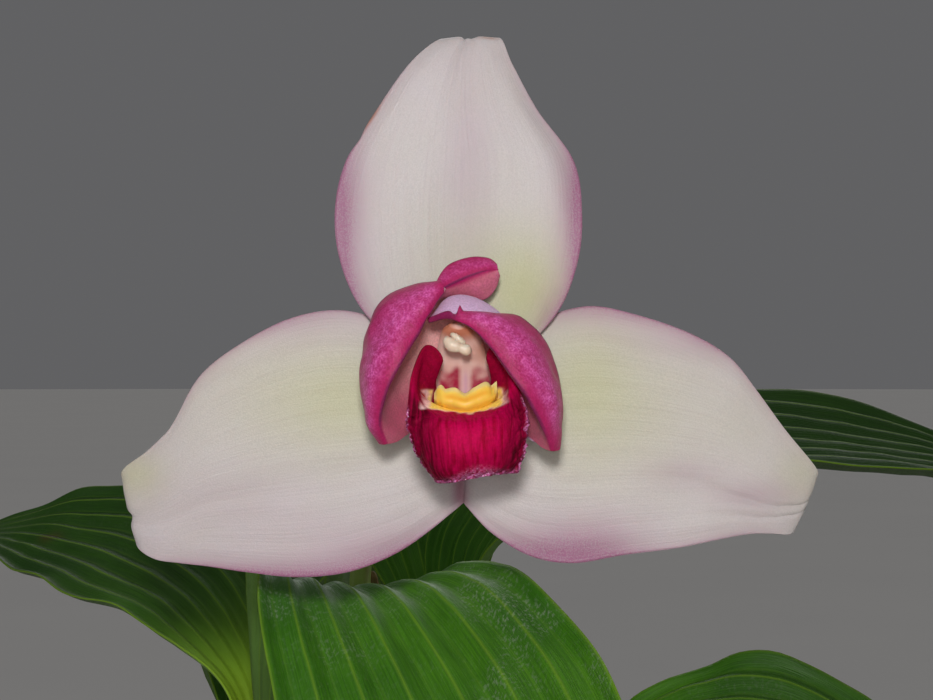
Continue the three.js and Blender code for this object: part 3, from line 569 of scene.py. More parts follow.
SEPALS = {
    "sepal_dorsal": [
        [-4.5, 1.5, 4.5, 1.5, 0.4, 0.4, 0.4],
        [-13, 8, 12, 7, 0.2, 0.3, 0.2],
        [-20.5, 15.5, 19.2, 15, -0.4, 0.5, -0.4],
        [-24.6, 25, 23, 25, -0.6, 0.8, -0.6],
        [-25.6, 35, 23.8, 35, 0, 0.9, 0.4],
        [-23.4, 45, 22.2, 45.4, 1.2, 0.8, 1.6],
        [-17, 55.5, 15, 55.5, 2, 0.8, 2],
        [-10.6, 64.4, 10, 64.4, 2.6, 1.6, 2.6],
        [-4.6, 69.3, 7.6, 69.8, 4.2, 3.4, 4.2],
        [-1, 68.4, 4.6, 68.6, 7.6, 7.2, 7.6],
    ],
    "sepal_left": [
        [-0.3, 3, -0.2, -23.5, 2.4, 2.2, 2],
        [-8, 8.4, -5.6, -28.4, 2.4, 2, 1.4],
        [-16, 12.8, -13.6, -33.8, 2.6, 1.6, 0.6],
        [-25, 15, -23, -37.4, 2.2, 1.4, 0],
        [-35, 13.2, -33, -38.4, 1.4, 1.4, 0],
        [-45, 8, -43, -37.5, 1.4, 1.6, 0.6],
        [-52.6, 2, -51, -36.4, 2.2, 1.8, 1.4],
        [-58, -6.6, -57, -35.8, 3, 2.2, 2.2],
        [-63, -12.8, -62, -35, 3.6, 3, 3],
        [-68.8, -17.4, -65.4, -32.6, 5.2, 4.6, 4.8],
        [-68, -21, -66, -29, 8.6, 8, 8.2],
    ],
    "sepal_right": [
        [0.3, 3, 0.2, -23.5, 2.4, 2.2, 2],
        [8, 8.8, 5.4, -29.4, 2.4, 2, 1.4],
        [16, 13.4, 13.4, -34.2, 2.6, 1.6, 0.6],
        [25.4, 15.8, 22, -35.6, 2.2, 1.4, 0],
        [35, 14, 32, -34, 1.4, 1.4, 0],
        [45.4, 10.4, 43, -32.6, 1.4, 1.6, 0.6],
        [53.4, 5.6, 51, -31, 2.2, 1.8, 1.4],
        [59, -1.2, 57.4, -29.9, 3, 2.2, 2.2],
        [65.2, -9.6, 62, -29.9, 3.6, 3, 3],
        [71, -16.6, 66, -30.1, 5.2, 4.6, 4.8],
        [71.6, -18.9, 67.6, -28.4, 7.8, 7.4, 7.6],
    ],
}
SEPAL_GRID = (130, 110)
SEAM = {"sepal_dorsal": 0, "sepal_left": 0.5, "sepal_right": -0.3}  # how far the feet lap over in x

# Soft patches on the sepals: x, z of the middle, half width, half height, strength
GREEN_PATCHES = {
    "sepal_dorsal": [(13, 17, 10, 13, 0.75), (1, 22, 14, 12, 0.3)],
    "sepal_left": [(-22, -3, 17, 12, 0.5), (-66, -18, 6, 5, 0.5), (-36, -2, 30, 12, 0.2)],
    "sepal_right": [(24, 0, 13, 16, 0.6), (68, -18, 6, 6, 0.3), (40, -6, 30, 14, 0.2)],
}
PINK_PATCHES = {
    "sepal_dorsal": [
        (-26, 26, 5, 15, 0.9),
        (-24, 40, 6, 12, 0.4),
        (24.5, 32, 5, 20, 0.95),
        (18, 13, 4, 6, 0.4),
        (-21, 14, 4, 8, 0.3),
        (1, 45, 5, 22, 0.22),
    ],
    "sepal_left": [
        (-12, -34, 22, 6, 0.5),
        (-36, -40, 24, 4, 0.75),
        (-46, -24, 22, 7, 0.14),
        (-40, 13, 20, 4, 0.3),
    ],
    "sepal_right": [
        (17, -34, 15, 6, 0.75),
        (30, 15, 16, 4, 0.4),
        (44, -17.5, 9, 3, 0.2),
        (58, -22, 9, 3, 0.28),
        (27, -31, 9, 6, 0.3),
        (48, 9, 12, 4, 0.3),
    ],
}


def patches(points, spots):
    """How strongly the soft patches cover each point, from 0 to 1."""
    total = np.zeros(points.shape[:-1])
    for x, z, wide, high, strength in spots:
        away = ((points[..., 0] - x) / wide) ** 2 + ((points[..., 2] - z) / high) ** 2
        total += strength * np.exp(-away)
    return np.clip(total, 0, 1)


def crease(s, t, path, depth, wide):
    """A soft groove along a path of t and s, deeper towards its end."""
    where = np.interp(t, *np.transpose(path))
    return -depth * np.exp(-(((s - where) / wide) ** 2)) * step(t, path[0][0], path[0][0] + 0.25)


def dorsal_relief(s, t):
    fold = crease(s, t, [(0.7, 0.5), (0.86, 0.45), (0.95, 0.3), (1, 0.24)], 0.7, 0.05)
    channel = -0.5 * bell(s, 0.5, 0.1) * step(t, 0.1, 0.4)
    curl = 1.4 * bell(t, 0.57, 0.13) * step(s, 0.86, 1.0)
    return fold + channel - curl


def left_relief(s, t):
    tip = crease(s, t, [(0.72, 0.56), (0.9, 0.6), (1, 0.62)], 0.8, 0.07)
    vein = crease(s, t, [(0.1, 0.62), (0.6, 0.66), (1, 0.7)], 0.25, 0.05)
    return tip + vein


def right_relief(s, t):
    above = [(0.42, 0.64), (0.52, 0.7), (0.65, 0.76), (0.73, 0.765), (0.81, 0.72), (0.9, 0.56), (1, 0.37)]
    below = [(0.48, 0.81), (0.61, 0.87), (0.73, 0.88), (0.81, 0.83), (0.9, 0.69), (1, 0.6)]
    return crease(s, t, above, 0.5, 0.035) + crease(s, t, below, 0.4, 0.03)


SEPAL_RELIEF = {"sepal_dorsal": dorsal_relief, "sepal_left": left_relief, "sepal_right": right_relief}
SEPAL_VEINS = 11  # from edge to edge


def bites(name, s, t):
    """Moves s and t a little where the margin has a nick or a wave."""
    if name == "sepal_dorsal":
        s = s + 0.1 * bell(t, 0.93, 0.012) * (1 - s) ** 3
        s = s + 0.012 * bell(t, 0.6, 0.02) * (1 - s) ** 8
    if name == "sepal_left":
        t = t * (1 - 0.03 * bell(s, 0.62, 0.1) * step(t, 0.8, 1))
        s = s + 0.03 * bell(t, 0.72, 0.05) * (1 - s) ** 6
    if name == "sepal_right":
        t = t * (1 - 0.02 * bell(s, 0.42, 0.06) * step(t, 0.8, 1))
    return s, t


def sepal_surface(name, s, t):
    """The sepal without its relief, and how wide it is there."""
    ax, az, bx, bz, *depths = np.moveaxis(through(SEPALS[name], t), -1, 0)
    surface = np.stack([mix(ax, bx, s), parabola(s, *depths), mix(az, bz, s)], -1)
    lap = SEAM[name] * step(t, 0.08, 0)
    surface[..., 0] += lap
    surface[..., 1] -= 0.5 * lap
    return surface, np.hypot(bx - ax, bz - az)


def sepal_marks(name, surface, s, t, margin):
    """Where the sepal is green, pink (its rims partly painted shade), magenta at the seam, and brown."""
    x, z = surface[..., 0], surface[..., 2]
    # A darker mauve rim along the margins: partly the sepal's own tint, partly painted shade where the
    # margin rolls back.
    thin_edge = (0.4 * np.exp(-margin / 0.9) + 0.16 * np.exp(-margin / 3)) * step(t, 0.95, 0.6)
    pink = np.clip(patches(surface, PINK_PATCHES[name]) + thin_edge, 0, 1)
    magenta = bell(x, -0.6, 1.6) * step(z, -25.5, -22) * step(z, -14, -18)
    tip = 0.6 * bell(x, 5.2, 2) * step(z, 69.1, 69.8)
    nick = 0.8 * bell(z, 53.5, 3) * step(s, 0.03, 0.0)
    brown = (tip + nick) * (name == "sepal_dorsal")
    return {"tone": channels(patches(surface, GREEN_PATCHES[name]), pink, magenta), "brown": brown}


def sepal(name):
    t, s = grid(*SEPAL_GRID)
    s, t = bites(name, s, t)
    surface, width = sepal_surface(name, s, t)
    veins = 0.035 * np.cos(2 * SEPAL_VEINS * math.pi * s) * (1 - t)
    relief = SEPAL_RELIEF[name](s, t) + veins + 0.18 * waves(surface, 12, 5)
    points = surface + normals_of(surface, TO_VIEWER) * relief[..., None]
    margin = np.minimum(s, 1 - s) * width
    thick = mix(0.4, 0.9, step(margin, 0, 4))
    marks = sepal_marks(name, surface, s, t, margin)
    add_sheet(name, "sepal", points + FLOWER, normals_of(points, TO_VIEWER), thick, t, s, marks)


# Petals, from top to tip: five points x, y, z from deep inside, by the wall, the crest of the fold
# and the back-rolled part, to the free margin

PETALS = {
    "petal_left": [
        [-2.2, -2.6, 15.6, -3.2, -7, 19, -4, -12.6, 18.4, -4, -12.7, 19.4, -4.2, -11.4, 20.2],
        [-3.6, -2, 10, -7.8, -8, 14, -6.8, -15.5, 13.8, -7.8, -14.2, 17.6, -9, -9, 19.9],
        [-4, -1.7, 6, -10, -9, 8.6, -9.2, -17.5, 9.4, -12.6, -15.8, 13.8, -14.9, -8.6, 17.7],
        [-4.4, -1.7, 2, -12.3, -9.5, 3.6, -11.8, -19, 5, -16, -16.8, 8, -18.6, -8, 11.4],
        [-4.6, -1.7, -2, -13.5, -9.8, -1.4, -14.3, -19, 0.2, -18.2, -16, 2.4, -19.9, -8, 4],
        [-5.4, -2.6, -5, -13.4, -10, -6, -15.7, -17.5, -4, -18.6, -15, -3.6, -19.4, -8.4, -2.8],
        [-8.4, -5, -7.4, -12.8, -10.6, -9, -16.2, -15.2, -7.4, -17.8, -13.6, -8, -17.9, -9.4, -8],
        [-12, -9.4, -10.4, -13.4, -10.8, -11, -15, -12.2, -11.2, -15.8, -11.8, -11.3, -16.4, -11, -11],
    ],
    "petal_right": [
        [-2, -2.4, 11, -5.2, -7.2, 13.8, -6.6, -12.2, 12.6, -6.7, -12.5, 12.9, -6.8, -12.5, 13.3],
        [-0.8, -2.4, 11.8, -2.4, -7.8, 17.1, -3.2, -14.2, 13.3, -3.3, -14.5, 13.9, -3.3, -14.2, 14.5],
        [1, -2.2, 11.8, 1.8, -8, 17.2, -0.7, -15.8, 12.7, -0.5, -16, 13.5, -0.3, -15, 14.4],
        [2.8, -2, 10.6, 5.6, -8.6, 15.3, 2.2, -17.2, 10.9, 3.8, -16.2, 13.3, 5.4, -11.4, 14.3],
        [4, -1.8, 8.6, 9.2, -9, 11.4, 5.6, -18.2, 7.4, 8.4, -16.6, 11.2, 11.4, -9.6, 13.4],
        [4.6, -1.7, 5, 11.2, -9.6, 6.4, 8.6, -19.1, 3.2, 12.2, -17, 7, 15.8, -8.9, 9],
        [4.8, -1.7, 1, 12.9, -10.2, 1.4, 11.9, -19.4, -1.2, 15.6, -16.7, 1.8, 18.3, -8.5, 3.2],
        [5.4, -2.6, -3, 13, -10, -3.9, 14, -18.2, -4.9, 17.6, -15.6, -3.4, 19.5, -8.6, -3.2],
        [8.6, -4.8, -6.6, 13.4, -10.8, -8, 16, -16, -8.8, 18.2, -14, -8.2, 19.5, -9.5, -8.4],
        [13.6, -10.2, -10.4, 15.6, -11.8, -11.9, 17.4, -12.8, -12.5, 18.2, -12.4, -12.6, 19, -11.4, -12.4],
    ],
}
# The left petal's upper margin, an ear over the column: upper margin, fold and lower margin
EAR = [
    [-5.6, -10.6, 18.6, -6, -12.4, 17.4, -5.2, -11.4, 16.9],
    [-4.2, -7.4, 22, -3.8, -9.4, 19.2, -3, -6.4, 17.5],
    [-2.2, -6, 24, -1.2, -8.2, 20.6, 0, -3.8, 16.6],
    [1.6, -5, 25.2, 1.4, -7.4, 21.7, 4.4, -4.4, 17.2],
    [5, -4.8, 25, 4.2, -6.6, 22.6, 6.4, -4.6, 19.4],
    [6.6, -5, 23.8, 6.9, -5.4, 22.9, 7.1, -5.1, 21.8],
]
PETAL_ROWS = 170
PETAL_HALF = 42  # columns from inside to the crest, and again from the crest to the margin
EAR_ROWS = 60
EAR_HALF = 22


def crest_columns(half):
    """0 to 1 to 2 across a folded sheet, closer together beside the fold at 1."""
    side = np.linspace(-1, 1, 2 * half + 1)
    return 1 + np.sign(side) * np.abs(side) ** 1.4


def petal_sheet(stations, to_inside):
    v = crest_columns(PETAL_HALF)
    t = np.linspace(0, 1, PETAL_ROWS)
    at = through(stations, t).reshape(-1, 5, 3)
    first = np.where(v <= 1, 0, 2)
    f = np.where(v <= 1, v, v - 1)[None, :, None]
    flat = parabola(f, at[:, first], at[:, first + 1], at[:, first + 2])
    normals = normals_of(flat, to_inside)
    t, v = np.meshgrid(t, v, indexing="ij")
    ripple = 0.22 * waves(flat, 5, 21) * step(v, 1.1, 1.6) + 0.08 * waves(flat, 3, 22)
    return flat + normals * ripple[..., None], normals, t, v


def petal_tone(name, t, v):
    """How much of the pale inner wall shows, of the painted highlight on the rolled part and of the painted
    shade along the fold and margin.
    """
    wall = step(v, 0.99, 0.9) * mix(1, 0.2, step(t, 0.2, 0.7))
    # Painted highlight along the middle of the rolled-back part; on the right petal it starts below the
    # top.
    top = step(t, 0.18, 0.34) if name == "petal_right" else step(t, 0, 0.12)
    painted_highlight = step(v, 1.04, 1.4) * step(v, 1.92, 1.5) * step(t, 0.97, 0.8) * top
    # Painted shade: a dark line along the fold's crest and a darker rim at the free margin; on the right
    # petal also a dark band at the top of its rolled part.
    painted_fold_shade = 0.75 * bell(v, 1, 0.028) * step(t, 0.98, 0.8) + 0.5 * step(v, 1.98, 2.0)
    if name == "petal_right":
        painted_fold_shade += 0.6 * step(t, 0.24, 0.16) * step(v, 0.98, 1.0)
    return np.clip(channels(wall, painted_highlight, painted_fold_shade), 0, 1)


def petal(name, to_inside):
    points, normals, t, v = petal_sheet(PETALS[name], to_inside)
    if name == "petal_right":
        points[..., 2] += spike(t, v)
    thick = mix(0.35, 0.7, step(v, 2, 1.8))
    body = shell(points + FLOWER, normals, thick)
    tone = both_sides(petal_tone(name, t, v))
    outside = on_back(t) * both_sides(step(v, 1.02, 0.98))
    uv = sheet_uv(t, v / 2)
    if name == "petal_left":
        more_body, more_tone, more_uv, more_outside = ear()
        body = joined([body, more_body])
        tone = np.concatenate([tone, more_tone])
        uv = np.concatenate([uv, more_uv])
        outside = np.concatenate([outside, more_outside])
    add_piece(name, body, "petal", uv, {"tone": tone, "outside": outside})


def spike(t, v):
    """The small upright point in the right petal's rim, and the dip beside it."""
    beyond_crest = step(v, 1.3, 1.75)
    return beyond_crest * (1.3 * bell(t, 0.213, 0.011) - 0.6 * bell(t, 0.18, 0.025))


def ear():
    """The ear's body, tone, uv and outside, to be joined to those of its petal."""
    t, v = np.meshgrid(np.linspace(0, 1, EAR_ROWS), crest_columns(EAR_HALF), indexing="ij")
    at = through(EAR, t[:, 0]).reshape(-1, 3, 3)
    first = np.where(v[0] <= 1, 0, 1)
    f = np.where(v[0] <= 1, v[0], v[0] - 1)
    points = mix(at[:, first], at[:, first + 1], f[None, :, None])
    points = points + TO_VIEWER * (0.5 * np.sin(math.pi * (v % 1)))[..., None]
    wall = 0.25 * step(v, 1.05, 1.3)
    # Painted highlight on the middle of the ear's upper part, and a weaker one below its fold.
    painted_highlight = 0.5 * step(v, 0.9, 0.5) * step(v, 0, 0.3) + 0.25 * step(v, 1.1, 1.5)
    # Painted shade along the ear's fold, its upper margin and its root.
    painted_fold_shade = 0.8 * bell(v, 1, 0.05) + 0.4 * step(v, 0.08, 0) + 0.5 * step(t, 0.15, 0)
    tone = both_sides(np.clip(channels(wall, painted_highlight, painted_fold_shade), 0, 1))
    body = shell(points + FLOWER, normals_of(points, TO_VIEWER), 0.6)
    return body, tone, sheet_uv(t, v / 2), on_back(t)


# The lip, from its foot to its fringed end: five points x, y, z from one margin to the other

LIP = [
    [-3, -4.6, -12.4, -2, -4.8, -13.6, 0, -5, -14.2, 2, -4.8, -13.6, 3, -4.6, -12.4],
    [-5.6, -10.4, 0.4, -5.2, -8.6, -7, 0.2, -8, -11, 5.2, -8.6, -7, 5.8, -10.4, 0.8],
    [-4.1, -12, 5.6, -7.6, -11.8, -3, 0.3, -11, -7.6, 7.6, -11.8, -2.8, 4.8, -12, 6],
    [-7.2, -13.2, 7.9, -8.6, -14.4, -1.4, 0.4, -14, -5.2, 8.8, -14.4, -1, 6.6, -13, 8],
    [-9.9, -15.6, 2.4, -7.6, -17.2, -4, 0.5, -17.4, -5.5, 8, -17.2, -3.4, 9.4, -15.2, 2.8],
    [-10.6, -18.3, -4, -5.8, -20.2, -5.8, 0.8, -20.4, -6.3, 6.8, -20, -5, 11.4, -17.4, -2],
    [-10.9, -19.3, -7.4, -5.8, -22.4, -7.4, 0.9, -23, -7.9, 7.2, -22.4, -6.8, 12.5, -19.2, -6.4],
    [-9.9, -18.8, -11, -5.2, -22.8, -11.8, 1, -23.8, -12, 7.2, -22.8, -11.2, 12.2, -18.8, -10.6],
    [-8.2, -17.4, -14.4, -4.6, -21, -16, 1.2, -22.2, -15.8, 7, -21, -15.2, 11.5, -17.4, -14],
    [-5.4, -15.8, -18.6, -3, -18.8, -18.6, 1.4, -19.6, -17.8, 6.4, -18.8, -17, 10.8, -15.8, -16.8],
]
LIP_GRID = (170, 150)
FRINGE = dict(deep=0.45, starts=0.6, wide=0.3, end=0.12, along=17, across=14)


def lip():
    t, s = grid(*LIP_GRID)
    rows = through(LIP, t[:, 0]).reshape(-1, 5, 3)
    across = through(np.moveaxis(rows, 1, 0).reshape(5, -1), s[0])
    flat = np.moveaxis(across.reshape(LIP_GRID[1], LIP_GRID[0], 3), 0, 1)
    to_side = np.where(t < FRINGE["starts"], 0, 1 - np.minimum(s, 1 - s) / FRINGE["wide"])
    to_end = 1 - (1 - t) / FRINGE["end"]
    ruffle = np.clip(np.maximum(to_side, to_end), 0, 1)
    turn = math.pi * (FRINGE["along"] * t + FRINGE["across"] * s)
    points = flat.copy()
    points[..., 1] -= FRINGE["deep"] * ruffle * np.cos(turn)
    frill = ruffle**3 * (0.3 * waves(flat, 1.1, 31) + 0.25 * waves(flat, 0.6, 32))
    outward = unit(flat - flat[:, LIP_GRID[1] // 2][:, None])
    points += outward * (0.7 * frill)[..., None] + TO_VIEWER * frill[..., None]
    points += TO_VIEWER * (0.12 * waves(flat, 2.2, 33) * step(t, 0.5, 0.7))[..., None]
    normals = normals_of(points, TO_VIEWER)
    thick = mix(0.3, 0.7, 1 - ruffle)
    add_sheet("lip", "lip", points + FLOWER, normals, thick, t, s, lip_marks(flat, s, t))


# The lower edge of the lip's yellow throat: x and z
THROAT_EDGE = [(-7.6, -4.5), (-4.6, -5.0), (1, -5.7), (5.9, -4.7), (9, -3.3)]


def lip_marks(flat, s, t):
    """Yellow throat, its pale border, painted shade at the sides, lower end and left fold, the side lobes'
    orange streaks, and the pale fringe with painted glints.
    """
    wobble = 0.35 * waves(flat, 1.2, 34)
    x, z = flat[..., 0] + wobble, flat[..., 2] + 0.4 * wobble
    low = np.interp(flat[..., 0], *np.transpose(THROAT_EDGE))
    pale = step(z, low - 0.2, low + 0.2) * step(z, -0.2, -1.0) * step(t, 0.14, 0.18)
    pale = pale * step(x, -8.4, -7.2) * step(x, 9.2, 8)
    yellow = pale * step(x, -7.4, -6) * step(x, 8.6, 7.2) * step(z, low - 0.1, low + 0.3)
    lobe = step(t, 0.5, 0.42) * step(np.abs(s - 0.5), 0.2, 0.3)
    # Painted shade: darker towards the sides and the lower end, where the lip curves away, and a dark line
    # along its left fold.
    side = step(np.abs(s - 0.54), 0.14, 0.4) * step(t, 0.46, 0.56)
    dark = 0.95 * side + 0.6 * step(t, 0.72, 0.95) + 0.4 * bell(t, 0.51, 0.04) * (s < 0.25)
    streak = 0.8 * bell(np.abs(s - 0.5), 0.27, 0.04) * bell(t, 0.2, 0.07)
    bulge = mix(0.93, 0.84, bell(s, 0.58, 0.2))
    end = step(t, 0.965, 0.99) * 0.4 + step(t, bulge, 0.98) * bell(s, 0.58, 0.26)
    rim = step(np.minimum(s, 1 - s), 0.03, 0.008) * step(t, 0.54, 0.6)
    tone = channels(yellow, pale, np.clip(dark, 0, 1))
    # The fringe's pale pink, where the paint also puts its painted glints.
    glitter = np.clip(end + 0.8 * rim, 0, 1)
    return {"tone": tone, "glitter": glitter, "streak": streak, "lobe": 0.8 * lobe}


# The callus: stations of x, and of y and z at its foot and at its top edge

CALLUS = [
    [-5.5, -14.6, -2.2, -13.8, -1.4],
    [-4.3, -15.7, -2.6, -13.8, 0],
    [-3.4, -16.4, -3, -14.6, -0.8],
    [-1.6, -17, -3.5, -15, -0.5],
    [0.4, -17.4, -3.75, -15, -1.7],
    [2.4, -17.2, -3.3, -15, -0.4],
    [4.4, -16.4, -2.6, -14.4, 0.6],
    [5.4, -15.6, -2, -14, -0.2],
    [6.6, -14.2, -1, -13.4, 0.9],
]
CALLUS_GRID = (90, 26)
CALLUS_ROOT = np.array([0, 3.4, -0.9])  # from its foot to its root, deep in the lip's throat


def callus():
    u, v = grid(*CALLUS_GRID)
    x, foot_y, foot_z, top_y, top_z = np.moveaxis(through(CALLUS, u), -1, 0)
    points = np.stack([x, mix(foot_y - 0.3, top_y, v), mix(foot_z - 0.5, top_z, v)], -1)
    points += CALLUS_ROOT * (step(v, 0.3, 0) ** 2)[..., None]
    ends = step(u, 0, 0.08) * step(u, 1, 0.92)
    lobes = 0.3 * np.abs(np.cos(3.5 * math.pi * (u - 0.5))) * np.sin(math.pi * v)
    points = points + TO_VIEWER * lobes[..., None]
    thick = mix(0.5, 1.3, ends) * mix(0.6, 1.0, step(v, 1, 0.7))
    orange = 0.7 * bell(v, 0.42, 0.16) * step(u, 0.15, 0.35) * step(u, 0.9, 0.7)
    pale = np.clip(0.8 * step(v, 0.62, 0.85) + 0.7 * step(u, 0.12, 0) + 0.7 * step(u, 0.9, 1), 0, 1)
    normals = normals_of(points, TO_VIEWER)
    add_sheet("callus", "callus", points + FLOWER, normals, thick, u, v, {"tone": channels(orange, pale)})


# The column: stations of x, y, z, half width and half thickness

COLUMN = [
    [0, -3.2, -10, 3, 0.9],
    [0, -3.8, -6, 4.4, 1.2],
    [0, -4.4, -2, 5.3, 1.5],
    [0, -5.4, 2, 5.6, 1.7],
    [-0.2, -7.2, 6, 5, 1.9],
    [-0.5, -9.4, 9, 4.2, 1.9],
    [-0.8, -11.4, 10.9, 3.2, 1.7],
    [-0.9, -12.8, 11.8, 1.8, 1],
]
COLUMN_GRID = (90, 64)
COLUMN_LEAN = 0.9
COLUMN_MIDDLE = 0.5  # x of its keel in the photo's view


def column():
    t, turn = round_grid(*COLUMN_GRID)
    x, y, z, wide, thick = np.moveaxis(through(COLUMN, t), -1, 0)
    lean = t * COLUMN_LEAN
    keel = 0.25 * bell(np.cos(turn), 0, 0.16) * (np.sin(turn) < 0) * step(t, 0.9, 0.5)
    out = thick * np.sin(turn) - keel
    side = wide * np.cos(turn)
    rings = np.stack([x + side, y + out * np.cos(lean), z + out * np.sin(lean)], -1)
    across, high = rings[..., 0], rings[..., 2]
    brown = np.clip(0.9 * step(t, 0.72, 0.9) + 0.6 * bell(across, 4.2, 2.4) * bell(high, 7, 3), 0, 1)
    from_middle = np.abs(across - COLUMN_MIDDLE)
    ragged = high + 0.9 * waves(rings, 1.6, 36)
    patch = step(from_middle, 0.5, 1.7) * step(from_middle, 6, 4.6) * step(ragged, 4.2, 1.0)
    pale = 0.75 * bell(across, COLUMN_MIDDLE, 0.6) * step(high, 4, 1)
    tone = with_ends(channels(brown, patch, pale))
    add_piece("column", tube(rings + FLOWER), "column", marks={"tone": tone})


# The anther cap's two curled folds: x, y, z and radius

ANTHER_FOLDS = [
    [
        [-3.2, -13.2, 9.6, 0.35],
        [-3, -13.5, 8.9, 1.0],
        [-2.2, -13.7, 8, 1.35],
        [-1.2, -13.9, 7.6, 1.15],
        [-0.5, -13.9, 7.4, 0.95],
        [0.4, -13.8, 7.1, 1.15],
        [1, -13.6, 6.9, 1.05],
        [1.6, -13.3, 6.8, 0.4],
    ],
    [
        [-2.3, -13, 10.1, 0.3],
        [-1.7, -13.4, 9.8, 0.6],
        [-0.8, -13.6, 9.1, 0.7],
        [0, -13.4, 8.5, 0.55],
        [0.4, -13, 8.2, 0.25],
    ],
]


def anther_cap():
    folds = [tube(rod(path, 60, 32, TO_VIEWER) + FLOWER) for path in ANTHER_FOLDS]
    add_piece("anther_cap", joined(folds), "anther")


# Leaves, from bulb to tip: x, y, z of the midrib, the way the upper face looks, half the blade's
# width round its arc, and half the angle of that arc

LEAVES = {
    "leaf_left": [
        [-28, -15, 180.6, 0.85, -0.35, 0.1, 5.5, 1.3],
        [-29, -11, 205, 0.7, -0.6, 0.2, 5.5, 1.2],
        [-27.5, -6, 229, 0.4, -0.7, 0.5, 9, 0.8],
        [-41, 8, 249, 0.1, -0.55, 0.8, 20, 0.4],
        [-60, 23, 259, -0.1, -0.43, 0.89, 25, 0.28],
        [-78, 35, 262, -0.15, -0.4, 0.9, 20, 0.26],
        [-93, 45, 262, -0.15, -0.38, 0.9, 9.5, 0.26],
        [-104, 52, 260.5, -0.15, -0.4, 0.9, 1.2, 0.2],
    ],
    "leaf_front": [
        [-18, -19.5, 180.5, 0.25, 0.95, 0.1, 5.5, 1.3],
        [-19, -21, 206, 0.25, 0.95, 0.1, 5.8, 1.2],
        [-18, -25, 232, 0.15, 0.9, 0.3, 11, 0.8],
        [-9, -33, 252, 0, 0.6, 0.8, 20, 0.4],
        [-1.4, -46, 256.4, 0.04, -0.1, 0.98, 25, 0.34],
        [7.4, -63, 248.6, -0.04, -0.6, 0.78, 29.2, 0.16],
        [18.8, -80, 229.5, -0.14, -0.78, 0.56, 33.2, 0.18],
        [30.2, -95, 206, -0.3, -0.84, 0.36, 29.8, 0.22],
        [38, -105, 179, -0.34, -0.88, 0.25, 18, 0.25],
        [44, -110, 152, -0.34, -0.9, 0.15, 1.2, 0.2],
    ],
    "leaf_low_right": [
        [29, 4.6, 186.9, -0.45, 0.8, 0.1, 5.5, 1.3],
        [35, -2, 200, -0.7, 0.5, 0.4, 6.5, 1.1],
        [45, -14, 213, -0.4, 0.1, 0.9, 15, 0.6],
        [66, -27, 223, -0.15, -0.25, 0.95, 26, 0.38],
        [88, -38, 223, 0.05, -0.3, 0.93, 30, 0.3],
        [107, -46, 206, 0.35, -0.3, 0.85, 25, 0.3],
        [120, -53, 181, 0.6, -0.3, 0.7, 14, 0.28],
        [127, -57, 157, 0.75, -0.3, 0.5, 1.2, 0.2],
    ],
    "leaf_right": [
        [30, 15.5, 187.6, -0.45, -0.85, 0.1, 5.5, 1.3],
        [24, 13, 214, -0.8, -0.5, 0.1, 6, 1.2],
        [20, 12, 241, -0.8, -0.45, 0.3, 9, 0.9],
        [24, 13, 262, -0.65, -0.4, 0.6, 17, 0.6],
        [43, 22, 277, -0.4, -0.35, 0.85, 25, 0.36],
        [73, 38, 283.5, -0.08, -0.32, 0.92, 29, 0.26],
        [108, 56, 284.5, 0.1, -0.28, 0.93, 30, 0.18],
        [143, 74, 278.5, 0.24, -0.26, 0.9, 26, 0.2],
        [171, 90, 261, 0.45, -0.25, 0.84, 15, 0.25],
        [188, 99, 240, 0.65, -0.2, 0.7, 1.2, 0.2],
    ],
    "leaf_back": [
        [18, 13.5, 187.4, 0.85, -0.35, 0.1, 5.5, 1.3],
        [18, 25, 214, 0, -1, 0.2, 6, 1.2],
        [14, 38, 242, 0, -0.85, 0.5, 11, 0.8],
        [9, 58, 270, 0, -0.6, 0.8, 24, 0.45],
        [3, 92, 287, 0, -0.2, 0.95, 33, 0.32],
        [-2, 130, 284, 0, 0.25, 0.95, 34, 0.3],
        [-6, 164, 262, 0, 0.6, 0.8, 27, 0.3],
        [-8, 186, 230, 0, 0.8, 0.6, 14, 0.26],
        [-9, 196, 204, 0, 0.9, 0.4, 1.2, 0.2],
    ],
    "leaf_back_left": [
        [-18.5, -8.5, 181, -0.2, -1, 0.1, 5.5, 1.3],
        [-26, 4, 207, -0.1, -1, 0.2, 5.8, 1.2],
        [-31, 24, 231, -0.1, -0.85, 0.5, 11, 0.8],
        [-33, 50, 248, -0.05, -0.45, 0.85, 22, 0.45],
        [-35, 86, 250, 0, 0.1, 0.98, 27, 0.32],
        [-36, 120, 232, 0, 0.5, 0.85, 23, 0.3],
        [-36, 143, 202, 0, 0.8, 0.6, 13, 0.28],
        [-36, 154, 174, 0, 0.9, 0.4, 1.2, 0.2],
    ],
}
LEAF_GRID = (98, 113)
LEAF_PLEAT = 0.032  # depth of a pleat, as a share of the half width
LEAF_SPOT = np.array([-80.0, 34.0, 262.0])  # a brown spot on the left leaf
# The height of a leaf's edge waves, where its yellowish foot ends, its dust, and how much painted shade
# darkens it
USUAL_LEAF = dict(wave=0.7, young=0.26, dust=0.25, dark=0.4)
LEAF_LOOKS = {
    "leaf_left": dict(wave=0.6, young=0.46, dark=0.7),
    "leaf_front": dict(wave=0.5, dust=1.0, dark=0.0),
    "leaf_low_right": dict(wave=1.3, dust=0.4, dark=0.45),
    "leaf_right": dict(dark=0.8),
}


